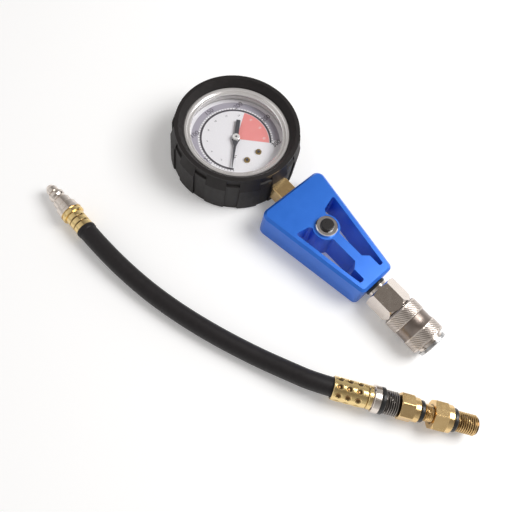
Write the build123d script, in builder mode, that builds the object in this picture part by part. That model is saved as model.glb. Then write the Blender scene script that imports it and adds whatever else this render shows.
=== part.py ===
from build123d import *
from math import asin, atan2, cos, degrees, pi, radians, sin, sqrt, tan
import os

# The origin is on the dial's axis, at the floor. The dial faces up, its 12 o'clock is towards +Y,
# and the stem, handle and coupler lie along -Y. Lengths are in millimetres.

# Fits
running_clearance = 0.08
slip_clearance = 0.1
seat_gap = 0.1
overrun = 1.0

# Gauge case and what it holds, from the floor up
boot_back = 2.6
case_radius = 33.0
case_wall = 1.0
case_front = 21.6
gasket_thickness = 0.8
gasket_width = 2.5
lens_thickness = 1.8
lens_edge_bevel = 0.4
bezel_radius = case_radius + 1.2
bezel_skirt = 19.4
bezel_top = 26.8
bezel_step_radius = bezel_radius - 2.7
bezel_window_radius = bezel_radius - 4.7
bezel_sheet = 1.1
bezel_round = 0.9
bezel_bevel = 0.5

# Boot
pad_count = 12
rim_mouth_radius = bezel_radius + 3.0
rim_radius = rim_mouth_radius + 2.5
rim_top = 31.5
rim_lip = 0.3
groove_radius = rim_radius + 1.3
groove_top_level = 25.6
groove_slope = 0.4
pad_radius = groove_radius + 1.0
pad_shoulder_level = 21.6
pad_top_level = 30.0
notch_width_deg = 12
boot_foot_bevel = 0.8
boot_stem_corner = 0.5

# Stem and its block inside the case
stem_level = 11.5
stem_square = 12.0
stem_corner = 0.6
stem_start = case_radius - 1.2
handle_start = 51.0
stem_thread_radius = 4.9
stem_thread_length = 10.5
stem_bore_radius = 1.5
stem_bore_start = 22.0
block_half_width = 6.5
block_outer = case_radius - 1.8
block_inner = 20.0
block_bottom = 4.2
block_top = 16.2
shelf_inner = 10.5
shelf_half_width = 8.0
shelf_top = 6.0

# Dial
dial_level = 16.6
dial_thickness = 0.6
dial_gap = 0.4
dial_hole_radius = 2.6
dial_screw_offset = 5.0
dial_screw_reach = 16.5
screw_head_height = 0.9
dial_screw_head_radius = 1.9
dial_screw_radius = 0.9
dial_screw_length = 4.5
screw_slot_width = 0.5
screw_slot_depth = 0.4
dial_post_radius = 1.9
needle_rest_deg = 222.0
needle_tip_radius = 23.0
needle_tail_radius = 14.0
needle_tail_width = 2.7
needle_collar_width = 4.4
needle_blade_width = 1.7
needle_point_width = 0.5
needle_collar_reach = 6.2
needle_level = 18.6
needle_thickness = 0.5
needle_boss_radius = 2.2
needle_boss_height = 0.9
needle_cap_radius = 2.5
needle_cap_height = 1.3
needle_cap_round = 0.5
stop_pin_radius = 0.5
stop_pin_reach = 14.0
stop_pin_rise = 2.9

# Bourdon tube, its tip and the link
tube_mean_radius = case_radius - 9.0
tube_width = 3.0
tube_height = 8.0
tube_wall = 0.35
tube_side_flat = 0.05
tube_tip_deg = -10.0
tip_block_deg = 7.0
tip_block_width = 3.6
tip_block_height = 8.4
tip_pin_radius_out = 20.5
tip_pin_deg = -15.0
tip_lug_width = 2.6
tip_lug_thickness = 0.8
link_thickness = 0.6
link_width = 2.8
link_pin_radius = 0.5
link_tail_clearance = 0.3

# Movement
module = 0.4
pinion_teeth = 10
sector_ratio = 8
sector_axis = (14.7, -10.3)
sector_tooth_count = 12
sector_level = 9.3
sector_thickness = 1.0
sector_hub_radius = 2.2
sector_tail_reach = 5.0
sector_tail_deg = 316.0
tooth_root_half = 0.30
tooth_pitch_half = 0.21
tooth_tip_half = 0.10
tooth_addendum = 0.34
tooth_dedendum = 0.56
tooth_root_sink = 0.15
sector_arbor_radius = 1.1
plate_thickness = 1.0
front_plate_level = 13.0
plate_margin = 2.5
pillar_radius = 1.5
pillar_places = [(-5.5, -6.5), (12.1, -14.8), (-4.5, 8.0)]
plate_tail_half_width = 2.9
plate_screw_reach = [13.6, 18.4]
small_screw_head_radius = 1.5
small_screw_radius = 0.7
pillar_screw_length = 3.0
base_screw_length = 2.3
pivot_radius = 0.7
pinion_axle_radius = 1.0
hairspring_level = 11.2
hairspring_height = 0.8
hairspring_wire = 0.2
hairspring_pitch = 0.9
hairspring_half_turns = 9
hairspring_collet_radius = 1.45

# Handle. The windows' levels along the handle go with the button's and the handle's end.
button_reach = 83.5
handle_end = 128.5
handle_wide = 52.4
handle_narrow = 26.4
handle_bottom = 0.2
handle_top = 20.8
handle_corner = 5.0
handle_small_corner = 3.6
handle_top_edge = 1.6
handle_bottom_edge = 0.4
window_wall = 4.0
window_end = handle_end - 5.7
window_corner = 1.2
boss_radius = 8.7
passage_radius = 1.2
left_window_top = button_reach - 8.6
left_window_boss_deg = 143.6
left_window_turn = (8.9, button_reach - 6.9)
left_spine = 2.4
left_slot = 6.6
right_window_top = button_reach - 12.7
right_window_boss_deg = 46.0
right_window_turn = (8.0, button_reach - 9.6)
right_spine = 3.4
right_slot = 7.3
spine_end = handle_end - 17.6
slot_start = handle_end - 14.3

# Release valve
valve_bore_radius = 6.0
valve_chamber_radius = 4.6
valve_chamber_bottom = 4.5
valve_seat_level = 13.0
valve_seat_thickness = 1.4
valve_seat_hole = 2.2
valve_ring_radius = 7.0
valve_ring_height = 2.0
valve_ring_bevel = 0.5
valve_ring_wall = 0.8
button_radius = 4.3
button_rise = 3.8
button_round = 0.7
button_flange_radius = 5.0
button_flange_thickness = 1.2
button_lip = 4.0
valve_stem_radius = 1.2
valve_head_radius = 3.4
valve_head_thickness = 1.2
valve_seal_thickness = 0.7
valve_spigot_radius = 1.7
valve_spigot_length = 1.0
valve_spring_radius = 2.4
valve_spring_wire = 0.45
valve_spring_turns = 4

# Coupler, measured from the dial's axis along the handle
thread_start = 122.0
coupler_thread_radius = 6.4
coupler_relief_radius = 5.8
neck_seal_end = 130.5
neck_seal_radius = 6.9
coupler_neck_radius = 6.6
hex_start = 132.3
hex_end = 149.0
hex_flats = 19.4
hex_turn_deg = 22.0
hex_chamfer_deg = 30.0
hex_long_chamfer_deg = 59.0
barrel_radius = 8.9
barrel_end = 174.6
barrel_neck_radius = 8.2
sleeve_start = 149.3
sleeve_end = 173.8
sleeve_radius = 11.4
sleeve_groove_radius = 10.8
sleeve_groove_start = 157.6
sleeve_groove_run = 164.6
sleeve_groove_end = 165.8
sleeve_bevel = 0.7
sleeve_spring_room = 10.6
sleeve_room_end = 156.3
sleeve_recess_start = 169.9
sleeve_recess_end = 173.2
sleeve_recess_radius = 9.65
ball_reach = 171.6
ball_radius = 2.4
ball_count = 4
ball_turn_deg = 45
ball_offset = 6.55
ball_seat_radius = 2.33
ball_seat_reach = 5.92
retaining_ring_start = 175.9
retaining_ring_radius = 9.5
coupler_end = 177.8
coupler_mouth_radius = 5.5
coupler_mouth_start = 174.2
coupler_bore_radius = 5.7
coupler_bore_bottom = 166.0
coupler_seal_width = 2.0
coupler_seal_inner = 3.2
coupler_throat_radius = 3.7
coupler_chamber_radius = 5.0
coupler_chamber_start = 139.0
coupler_chamber_end = 161.0
coupler_tail_bore = 2.5
coupler_valve_radius = 4.5
coupler_valve_length = 4.0
coupler_valve_nose = 3.3
coupler_valve_rise = 2.5
coupler_valve_seal = 0.8
sleeve_spring_wire = 0.8
sleeve_spring_turns = 4
coupler_spring_radius = 3.4
coupler_spring_wire = 0.7
coupler_spring_turns = 5

# Hose and the plug end. The plug's line starts under the hose's first point and runs towards +Y.
hose_radius = 5.6
crimp_radius = 4.8
barb_radius = 2.9
barb_tip_radius = 2.4
barb_count = 3
barb_setback = 1.0
hose_gas_radius = 1.4
edge_bevel = 0.4
plug_origin = (-109.8, 3.5, 7.0)
plug_heading_deg = 90.0
plug_ferrule_start = 9.0
plug_ferrule_end = 20.0
plug_ferrule_radius = 5.7
plug_ferrule_groove = 0.5
plug_ferrule_groove_width = 1.2
plug_ferrule_grooves = [12.5, 16.3]
plug_ring_end = 24.7
plug_ring_radius = 6.95
plug_ring_groove = 0.6
plug_shoulder_end = 29.2
plug_shoulder_radius = 6.5
plug_shoulder_bevel = 0.8
plug_body_end = 33.2
plug_body_radius = 5.35
plug_ball_groove = (34.9, 35.7)
plug_ball_groove_radius = 4.1
plug_collar_start = 36.9
plug_collar_end = 39.3
plug_collar_radius = 4.75
plug_groove_end = 40.5
plug_groove_radius = 2.9
plug_nose_end = 43.4
plug_nose_radius = 3.5
plug_tip_end = 45.6
plug_tip_radius = 2.2

# Threaded end. Its line starts at the ferrule's inner end and runs out to the thread's tip.
end_origin = (-50.8, -173.4, 9.25)
end_heading_deg = -56.0
end_ferrule_start = -22.5
end_ferrule_end = 0.3
end_ferrule_lip = 1.0
end_ferrule_radius = 6.9
dimple_rows = [-18.9, -13.4, -7.5]
dimple_count = 8
dimple_radius = 2.9
dimple_depth = 0.9
end_ferrule_groove = -2.2
end_collar_start = 0.9
end_collar_end = 5.2
end_collar_neck = 5.9
end_collar_radius = 7.9
end_seal_end = 7.8
end_seal_radius = 7.8
end_seal_seat = 6.1
end_thread_radius = 7.0
end_thread_bevel = 1.2
end_socket_start = 10.5
end_hex_start = 16.7
end_hex_end = 25.0
end_hex_flats = 14.0
end_hex_turn_deg = -32.0
end_flange_end = 28.2
end_flange_radius = 7.0
spigot_radius = 3.5
first_seal_end = 31.0
first_seal_radius = 6.3
first_neck_radius = 5.0
first_neck_end = 39.5
second_hex_start = 35.9
second_hex_end = 44.0
second_hex_flats = 16.2
second_hex_turn_deg = -19.0
second_flange_end = 47.3
second_flange_radius = 8.0
second_seal_end = 50.3
second_seal_radius = 6.9
tip_thread_radius = 6.0
tip_thread_end = 62.6
tip_relief_radius = 5.2
tip_relief_length = 1.5
seal_round_share = 3

# The hose's route between its two ferrules, and the share of a run that a bend may take
route_share = 0.45
hose_route = [
    (-109.8, 12.5, 7.0),
    (-109.8, -8.0, 7.0),
    (-106.3, -38.5, 5.7),
    (-100.4, -64.9, 5.7),
    (-92.4, -90.1, 5.7),
    (-82.8, -114.3, 5.7),
    (-75.3, -131.3, 7.2),
    (-68.1, -147.7, 9.25),
    (-52.6, -170.7, 9.25),
]

os.makedirs("parts", exist_ok=True)


def keep(builder, name):
    """Label a finished piece and write it to its own file."""
    builder.part.label = name
    export_step(builder.part, f"parts/{name}.step")


def line_at(origin, direction, up=(0, 0, 1)):
    """The plane that holds a line: its X runs along the line and its Y points up from it."""
    return Plane(origin=origin, x_dir=direction, z_dir=Vector(direction).cross(Vector(up)))


def across(line, along):
    """The plane square to a line at a distance along it, with its X pointing up."""
    return Plane(origin=line.origin + line.x_dir * along, x_dir=line.y_dir, z_dir=line.x_dir)


def spin(line, outline, mode=Mode.ADD):
    """Turn a closed outline of (along, radius) points about a line, in the part being built."""
    with BuildSketch(line) as profile:
        with BuildLine():
            Polyline(*outline, close=True)
        make_face()
    revolve(profile.sketch, axis=Axis(line.origin, line.x_dir), mode=mode)


def bar(line, start, end, radius, mode=Mode.ADD):
    """Add a plain round bar or bore on a line."""
    spin(line, [(start, 0), (start, radius), (end, radius), (end, 0)], mode)


def hexagon(line, start, end, flats, turn_deg, end_chamfer_deg=hex_chamfer_deg):
    """A hexagon on a line with both ends chamfered. turn_deg turns one flat away from up."""
    corner = flats / 2 / cos(pi / 6)
    drop = (corner - flats / 2) * tan(radians(hex_chamfer_deg))
    end_drop = (corner - flats / 2) * tan(radians(end_chamfer_deg))
    with BuildPart() as nut:
        with BuildSketch(across(line, start)):
            RegularPolygon(flats / 2, 6, major_radius=False, rotation=turn_deg + 30)
        extrude(amount=end - start)
        first_cone = [(start, 0), (start, flats / 2), (start + drop, corner)]
        last_cone = [(end - end_drop, corner), (end, flats / 2), (end, 0)]
        spin(line, [*first_cone, *last_cone], Mode.INTERSECT)
    return nut.part


def coil(line, start, end, radius, wire, turns):
    """A compression spring of round wire between two seats on a line."""
    height = end - start - wire
    centre = line.origin + line.x_dir * (start + wire / 2)
    with BuildPart() as spring:
        with BuildLine():
            path = Helix(height / turns, height, radius, center=centre, direction=line.x_dir)
        with BuildSketch(Plane(origin=path @ 0, z_dir=path % 0)):
            Circle(wire / 2)
        sweep(path=path, is_frenet=True)
    return spring


def screw(place, head_level, head_radius, radius, length):
    """A slotted pan head screw that stands on head_level, with its shank below."""
    with Locations((*place, head_level)):
        Cylinder(head_radius, screw_head_height, align=(Align.CENTER, Align.CENTER, Align.MIN))
        Cylinder(radius, length, align=(Align.CENTER, Align.CENTER, Align.MAX))
    with Locations((*place, head_level + screw_head_height)):
        Box(2 * head_radius, screw_slot_width, 2 * screw_slot_depth, mode=Mode.SUBTRACT)


def rubber_washer(name, line, start, end, inner, outer):
    """A fat rubber ring between two shoulders, with rounded outer edges."""
    with BuildPart() as washer:
        spin(line, [(start, inner), (start, outer), (end, outer), (end, inner)])
        rim = washer.faces().filter_by(GeomType.CYLINDER).sort_by(SortBy.AREA)[-1]
        fillet(rim.edges().filter_by(GeomType.CIRCLE), (end - start) / seal_round_share)
    keep(washer, name)


dial_line = line_at((0, 0, 0), (0, 0, 1), (1, 0, 0))
head_line = line_at((0, 0, stem_level), (0, -1, 0))
button_line = line_at((0, -button_reach, 0), (0, 0, 1), (1, 0, 0))
pivot_line = line_at((*sector_axis, 0), (0, 0, 1), (1, 0, 0))
plug_line = line_at(plug_origin, (cos(radians(plug_heading_deg)), sin(radians(plug_heading_deg)), 0))
end_line = line_at(end_origin, (cos(radians(end_heading_deg)), sin(radians(end_heading_deg)), 0))

# Rubber boot: a cup with twelve grip pads, a raised rim and an opening for the stem
case_inner = case_radius - case_wall
lens_level = case_front + gasket_thickness
bezel_underside = lens_level + lens_thickness

notch_outline = [
    (pad_radius + overrun, -overrun),
    (groove_radius, -overrun),
    (groove_radius, groove_top_level),
    (rim_radius, groove_top_level + groove_slope),
    (rim_radius, rim_top + overrun),
    (pad_radius + overrun, rim_top + overrun),
]
with BuildPart() as boot_notch:
    with BuildSketch(Plane.XZ):
        with BuildLine():
            Polyline(*notch_outline, close=True)
        make_face()
    revolve(axis=Axis.Z, revolution_arc=notch_width_deg)

with BuildPart() as rubber_boot:
    spin(
        dial_line,
        [
            (0, 0),
            (0, pad_radius - boot_foot_bevel),
            (boot_foot_bevel, pad_radius),
            (pad_shoulder_level, pad_radius),
            (pad_top_level, rim_radius),
            (rim_top, rim_radius),
            (rim_top, rim_mouth_radius),
            (bezel_top + seat_gap, bezel_radius - rim_lip),
            (bezel_top + seat_gap, bezel_radius + seat_gap),
            (bezel_skirt, bezel_radius + seat_gap),
            (bezel_skirt, case_radius + seat_gap),
            (boot_back, case_radius + seat_gap),
            (boot_back, 0),
        ],
    )
    pad_pitch = 360 / pad_count
    with PolarLocations(0, pad_count, start_angle=(pad_pitch - notch_width_deg) / 2):
        add(boot_notch.part, mode=Mode.SUBTRACT)
    with BuildSketch(across(head_line, block_outer)) as stem_opening:
        RectangleRounded(
            stem_square + 2 * slip_clearance, stem_square + 2 * slip_clearance, boot_stem_corner
        )
    extrude(stem_opening.sketch, amount=pad_radius, mode=Mode.SUBTRACT)
keep(rubber_boot, "rubber_boot")

# Gauge case: a drawn cup with a square hole for the stem
with BuildPart() as gauge_case:
    spin(
        dial_line,
        [
            (boot_back, 0),
            (boot_back, case_radius),
            (case_front, case_radius),
            (case_front, case_inner),
            (boot_back + case_wall, case_inner),
            (boot_back + case_wall, 0),
        ],
    )
    with BuildSketch(across(head_line, block_outer)) as case_hole:
        Rectangle(stem_square + 2 * slip_clearance, stem_square + 2 * slip_clearance)
    extrude(case_hole.sketch, amount=2 * case_wall + overrun, mode=Mode.SUBTRACT)
keep(gauge_case, "gauge_case")

# Lens gasket
with BuildPart() as lens_gasket:
    gasket_inner = case_radius - gasket_width
    gasket_outer = case_radius - seat_gap
    spin(
        dial_line,
        [
            (case_front, gasket_inner),
            (case_front, gasket_outer),
            (lens_level, gasket_outer),
            (lens_level, gasket_inner),
        ],
    )
keep(lens_gasket, "lens_gasket")

# Lens
with BuildPart() as lens:
    bar(dial_line, lens_level, bezel_underside, case_radius - seat_gap)
    chamfer(lens.edges().filter_by(GeomType.CIRCLE), lens_edge_bevel)
keep(lens, "lens")

# Bezel ring: rolled sheet with a raised outer band and a step down to the lens
with BuildPart() as bezel_ring:
    step_top = bezel_underside + bezel_sheet
    with BuildSketch(dial_line) as bezel_section:
        with BuildLine():
            Polyline(
                (bezel_skirt, case_radius + seat_gap / 2),
                (bezel_skirt, bezel_radius),
                (bezel_top - bezel_round, bezel_radius),
            )
            RadiusArc(
                (bezel_top - bezel_round, bezel_radius),
                (bezel_top, bezel_radius - bezel_round),
                -bezel_round,
            )
            Polyline(
                (bezel_top, bezel_radius - bezel_round),
                (bezel_top, bezel_step_radius + bezel_bevel),
                (bezel_top - bezel_bevel, bezel_step_radius),
                (step_top, bezel_step_radius),
                (step_top, bezel_window_radius + bezel_bevel),
                (step_top - bezel_bevel, bezel_window_radius),
                (bezel_underside, bezel_window_radius),
                (bezel_underside, bezel_step_radius + bezel_bevel),
                (bezel_top - bezel_sheet, bezel_step_radius + bezel_sheet),
                (bezel_top - bezel_sheet, case_radius + seat_gap / 2),
                (bezel_skirt, case_radius + seat_gap / 2),
            )
        make_face()
    revolve(bezel_section.sketch, axis=Axis.Z)
keep(bezel_ring, "bezel_ring")

# Dial plate
dial_top = dial_level + dial_thickness
dial_screw_places = [(-dial_screw_offset, -dial_screw_reach), (dial_screw_offset, -dial_screw_reach)]
needle_heading = Vector(cos(radians(needle_rest_deg)), sin(radians(needle_rest_deg)))
needle_side = Vector(-needle_heading.Y, needle_heading.X)
needle_half_at_stop = needle_blade_width / 2
stop_pin_place = needle_heading * stop_pin_reach + needle_side * (
    needle_half_at_stop + stop_pin_radius + seat_gap
)
with BuildPart() as dial_plate:
    with BuildSketch(Plane.XY.offset(dial_level)):
        Circle(case_inner - dial_gap)
        Circle(dial_hole_radius, mode=Mode.SUBTRACT)
        with Locations(*dial_screw_places):
            Circle(dial_screw_radius + slip_clearance, mode=Mode.SUBTRACT)
        with Locations(stop_pin_place):
            Circle(stop_pin_radius, mode=Mode.SUBTRACT)
    extrude(amount=dial_thickness)
keep(dial_plate, "dial_plate")

with BuildPart() as stop_pin:
    with Locations((stop_pin_place.X, stop_pin_place.Y, dial_level)):
        Cylinder(stop_pin_radius, stop_pin_rise, align=(Align.CENTER, Align.CENTER, Align.MIN))
keep(stop_pin, "stop_pin")

# Dial screws and the posts that carry the dial
with BuildPart() as dial_screws:
    for place in dial_screw_places:
        screw(place, dial_top, dial_screw_head_radius, dial_screw_radius, dial_screw_length)
keep(dial_screws, "dial_screws")

with BuildPart() as dial_posts:
    with Locations(*[(*place, shelf_top) for place in dial_screw_places]):
        Cylinder(
            dial_post_radius,
            dial_level - shelf_top,
            align=(Align.CENTER, Align.CENTER, Align.MIN),
        )
    with Locations(*[(*place, dial_level) for place in dial_screw_places]):
        Cylinder(
            dial_screw_radius + running_clearance,
            dial_screw_length + seat_gap,
            align=(Align.CENTER, Align.CENTER, Align.MAX),
            mode=Mode.SUBTRACT,
        )
keep(dial_posts, "dial_posts")

# Stem: a square bar, lower where it passes under the dial, with a block and a shelf inside the
# case and a thread into the handle
plate_top = shelf_top + plate_thickness
base_screw_places = [(0, -reach) for reach in plate_screw_reach]
with BuildPart() as gauge_stem:
    with BuildSketch(across(head_line, stem_start)):
        RectangleRounded(stem_square, stem_square, stem_corner)
    extrude(amount=handle_start - stem_start)
    bar(head_line, handle_start, handle_start + stem_thread_length, stem_thread_radius)
    chamfer(gauge_stem.faces().sort_by(Axis.Y)[0].edges(), stem_corner)
    with BuildSketch(Plane.XY.offset(block_bottom)):
        with Locations((0, -(block_outer + block_inner) / 2)):
            Rectangle(2 * block_half_width, block_outer - block_inner)
    extrude(amount=block_top - block_bottom)
    stem_bottom = stem_level - stem_square / 2
    with BuildSketch(Plane.XY.offset(stem_bottom)):
        with Locations((0, -(block_outer + stem_start) / 2)):
            Rectangle(stem_square, stem_start - block_outer)
    extrude(amount=block_top - stem_bottom)
    with BuildSketch(Plane.XY.offset(block_bottom)):
        with Locations((0, -(block_inner + shelf_inner) / 2)):
            Rectangle(2 * shelf_half_width, block_inner - shelf_inner)
    extrude(amount=shelf_top - block_bottom)
    bar(
        head_line,
        stem_bore_start,
        handle_start + stem_thread_length,
        stem_bore_radius,
        Mode.SUBTRACT,
    )
    tube_reach = sqrt(tube_mean_radius**2 - block_half_width**2)
    with Locations(Plane.YZ.offset(-block_half_width)):
        with Locations((-tube_reach, stem_level)):
            Cylinder(stem_bore_radius / 2, 2 * block_half_width, mode=Mode.SUBTRACT)
    with Locations(*[(*place, shelf_top) for place in base_screw_places]):
        Cylinder(
            small_screw_radius + running_clearance,
            shelf_top - block_bottom,
            align=(Align.CENTER, Align.CENTER, Align.MAX),
            mode=Mode.SUBTRACT,
        )
keep(gauge_stem, "gauge_stem")

# Bourdon tube: a flattened tube bent round from the block to its tip
tube_start_deg = 270 - degrees(asin(block_half_width / tube_mean_radius))
tube_overrun_deg = 8
with BuildPart() as bourdon_tube:
    tip_plane = Plane.XZ.rotated((0, 0, tube_tip_deg))
    with BuildSketch(tip_plane) as tube_section:
        with Locations((tube_mean_radius, stem_level)):
            RectangleRounded(tube_width, tube_height, tube_width / 2 - tube_side_flat)
            RectangleRounded(
                tube_width - 2 * tube_wall,
                tube_height - 2 * tube_wall,
                tube_width / 2 - tube_wall - tube_side_flat,
                mode=Mode.SUBTRACT,
            )
    revolve(
        tube_section.sketch,
        axis=Axis.Z,
        revolution_arc=tube_start_deg - tube_tip_deg + tube_overrun_deg,
    )
    with Locations((-block_half_width, -tube_mean_radius, stem_level)):
        Box(
            2 * tube_mean_radius,
            tube_mean_radius,
            2 * tube_height,
            align=(Align.MIN, Align.CENTER, Align.CENTER),
            mode=Mode.SUBTRACT,
        )
keep(bourdon_tube, "bourdon_tube")

# Tube tip: an end block with a lug and the pin for the link
tip_pin = Vector(
    tip_pin_radius_out * cos(radians(tip_pin_deg)), tip_pin_radius_out * sin(radians(tip_pin_deg))
)
tail_pin = Vector(
    sector_axis[0] + sector_tail_reach * cos(radians(sector_tail_deg)),
    sector_axis[1] + sector_tail_reach * sin(radians(sector_tail_deg)),
)
link_level = sector_level + sector_thickness + seat_gap
with BuildPart() as tube_tip:
    block_start = Plane.XZ.rotated((0, 0, tube_tip_deg - tip_block_deg))
    with BuildSketch(block_start) as block_section:
        with Locations((tube_mean_radius, stem_level)):
            RectangleRounded(tip_block_width, tip_block_height, tip_block_width / 4)
    revolve(block_section.sketch, axis=Axis.Z, revolution_arc=tip_block_deg)
    lug_level = link_level + link_thickness + seat_gap
    with BuildSketch(Plane.XY.offset(lug_level)) as lug:
        lug_root = tip_pin * (tube_mean_radius / tip_pin_radius_out)
        with Locations((tip_pin + lug_root) * 0.5):
            SlotCenterToCenter((lug_root - tip_pin).length, tip_lug_width, rotation=tip_pin_deg)
    extrude(lug.sketch, amount=tip_lug_thickness)
    with Locations((tip_pin.X, tip_pin.Y, link_level - seat_gap)):
        Cylinder(
            link_pin_radius,
            lug_level - link_level + 2 * seat_gap,
            align=(Align.CENTER, Align.CENTER, Align.MIN),
        )
keep(tube_tip, "tube_tip")

# Link between the tube's tip and the sector's tail
link_run = tip_pin - tail_pin
with BuildPart() as link:
    with BuildSketch(Plane.XY.offset(link_level)):
        with Locations((tip_pin + tail_pin) * 0.5):
            SlotCenterToCenter(
                link_run.length,
                link_width,
                rotation=degrees(atan2(link_run.Y, link_run.X)),
            )
        with Locations(tip_pin):
            Circle(link_pin_radius + running_clearance, mode=Mode.SUBTRACT)
        with Locations(tail_pin):
            Circle(link_pin_radius + link_tail_clearance, mode=Mode.SUBTRACT)
    extrude(amount=link_thickness)
keep(link, "link")


def plate_outline():
    """The outline that both movement plates share, rounded off round the pillars and the pivot."""
    first, second, last = pillar_places
    with BuildSketch() as outline:
        with BuildLine():
            Polyline(first, second, sector_axis, last, close=True)
        make_face()
        offset(amount=plate_margin, kind=Kind.ARC)
    return outline.sketch


# Movement plates
with BuildPart() as movement_back_plate:
    with BuildSketch(Plane.XY.offset(shelf_top)):
        add(plate_outline())
        with Locations((0, -(block_inner - seat_gap) / 2)):
            Rectangle(2 * plate_tail_half_width, block_inner - seat_gap)
        with Locations((0, 0), sector_axis):
            Circle(pivot_radius + running_clearance, mode=Mode.SUBTRACT)
        with Locations(*base_screw_places):
            Circle(small_screw_radius + running_clearance, mode=Mode.SUBTRACT)
    extrude(amount=plate_thickness)
keep(movement_back_plate, "movement_back_plate")

with BuildPart() as movement_front_plate:
    with BuildSketch(Plane.XY.offset(front_plate_level)):
        add(plate_outline())
        with Locations((0, 0)):
            Circle(pinion_axle_radius + running_clearance, mode=Mode.SUBTRACT)
        with Locations(sector_axis):
            Circle(pivot_radius + running_clearance, mode=Mode.SUBTRACT)
        with Locations(*pillar_places):
            Circle(small_screw_radius + running_clearance, mode=Mode.SUBTRACT)
    extrude(amount=plate_thickness)
keep(movement_front_plate, "movement_front_plate")

with BuildPart() as movement_pillars:
    with Locations(*[(*place, plate_top) for place in pillar_places]):
        Cylinder(
            pillar_radius,
            front_plate_level - plate_top,
            align=(Align.CENTER, Align.CENTER, Align.MIN),
        )
    with Locations(*[(*place, front_plate_level) for place in pillar_places]):
        Cylinder(
            small_screw_radius + running_clearance,
            pillar_screw_length,
            align=(Align.CENTER, Align.CENTER, Align.MAX),
            mode=Mode.SUBTRACT,
        )
keep(movement_pillars, "movement_pillars")

with BuildPart() as movement_screws:
    for place in pillar_places:
        screw(
            place,
            front_plate_level + plate_thickness,
            small_screw_head_radius,
            small_screw_radius,
            pillar_screw_length,
        )
keep(movement_screws, "movement_screws")

with BuildPart() as base_screws:
    for place in base_screw_places:
        screw(place, plate_top, small_screw_head_radius, small_screw_radius, base_screw_length)
keep(base_screws, "base_screws")


def tooth_points(centre, pitch_radius, heading_deg):
    """The corners of one straight-sided tooth that points away from a gear's centre."""
    outward = Vector(1, 0).rotate(Axis.Z, heading_deg)
    sideways = Vector(0, 1).rotate(Axis.Z, heading_deg)
    stations = [
        (pitch_radius - tooth_dedendum - tooth_root_sink, tooth_root_half),
        (pitch_radius, tooth_pitch_half),
        (pitch_radius + tooth_addendum, tooth_tip_half),
    ]
    left = [centre + outward * along + sideways * half for along, half in stations]
    right = [centre + outward * along - sideways * half for along, half in reversed(stations)]
    return [*left, *right]


# Sector gear: a toothed rim on a web, with a tail and its pin, on an arbor
pivot = Vector(*sector_axis)
pinion_pitch_radius = module * pinion_teeth / 2
sector_pitch_radius = pinion_pitch_radius * sector_ratio
mesh_deg = degrees(atan2(-pivot.Y, -pivot.X))
sector_tooth_deg = 360 / (pinion_teeth * sector_ratio)
last_tooth_deg = mesh_deg + 1.5 * sector_tooth_deg
first_tooth_deg = last_tooth_deg - (sector_tooth_count - 1) * sector_tooth_deg
with BuildPart() as sector_gear:
    with BuildSketch(Plane.XY.offset(sector_level)) as sector_face:
        with BuildLine():
            rim = CenterArc(
                pivot,
                sector_pitch_radius - tooth_dedendum,
                first_tooth_deg - sector_tooth_deg / 2,
                sector_tooth_count * sector_tooth_deg,
            )
            Line(rim @ 1, pivot)
            Line(pivot, rim @ 0)
        make_face()
        for index in range(sector_tooth_count):
            with BuildLine():
                Polyline(
                    *tooth_points(
                        pivot, sector_pitch_radius, first_tooth_deg + index * sector_tooth_deg
                    ),
                    close=True,
                )
            make_face()
        with Locations((pivot + tail_pin) * 0.5):
            SlotCenterToCenter(sector_tail_reach, link_width, rotation=sector_tail_deg)
        with Locations(pivot):
            Circle(sector_hub_radius)
    extrude(sector_face.sketch, amount=sector_thickness)
    bar(pivot_line, plate_top + seat_gap, front_plate_level - seat_gap, sector_arbor_radius)
    bar(
        pivot_line,
        shelf_top + seat_gap,
        front_plate_level + plate_thickness - seat_gap,
        pivot_radius,
    )
    with Locations((tail_pin.X, tail_pin.Y, sector_level)):
        Cylinder(
            link_pin_radius,
            link_level + link_thickness + seat_gap - sector_level,
            align=(Align.CENTER, Align.CENTER, Align.MIN),
        )
keep(sector_gear, "sector_gear")

# Pinion shaft: ten teeth on an axle that carries the needle
shaft_top = needle_level + needle_thickness
with BuildPart() as pinion_shaft:
    with BuildSketch(Plane.XY.offset(sector_level - seat_gap)) as pinion_face:
        Circle(pinion_pitch_radius - tooth_dedendum)
        for index in range(pinion_teeth):
            pinion_tooth_deg = mesh_deg + 180 + index * 360 / pinion_teeth
            with BuildLine():
                Polyline(
                    *tooth_points(Vector(), pinion_pitch_radius, pinion_tooth_deg), close=True
                )
            make_face()
    extrude(pinion_face.sketch, amount=sector_thickness + 2 * seat_gap)
    bar(dial_line, shelf_top + seat_gap, shaft_top, pivot_radius)
    bar(dial_line, plate_top + seat_gap, needle_level - needle_boss_height, pinion_axle_radius)
    bar(
        dial_line,
        hairspring_level - seat_gap,
        hairspring_level + hairspring_height + seat_gap,
        hairspring_collet_radius - slip_clearance,
    )
keep(pinion_shaft, "pinion_shaft")

# Hairspring: a flat spiral drawn as half circles, from the collet out to its stud
with BuildPart() as hairspring:
    with BuildSketch(Plane.XY.offset(hairspring_level)) as spiral_face:
        with BuildLine() as spiral:
            spiral_radius = hairspring_collet_radius + hairspring_wire / 2
            spiral_centre = 0.0
            for index in range(hairspring_half_turns):
                side = 1 if index % 2 == 0 else -1
                CenterArc((spiral_centre, 0), spiral_radius, 0 if side > 0 else 180, 180)
                spiral_radius += hairspring_pitch / 4
                spiral_centre += side * hairspring_pitch / 4
        trace(line_width=hairspring_wire)
    extrude(spiral_face.sketch, amount=hairspring_height)
keep(hairspring, "hairspring")

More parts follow.
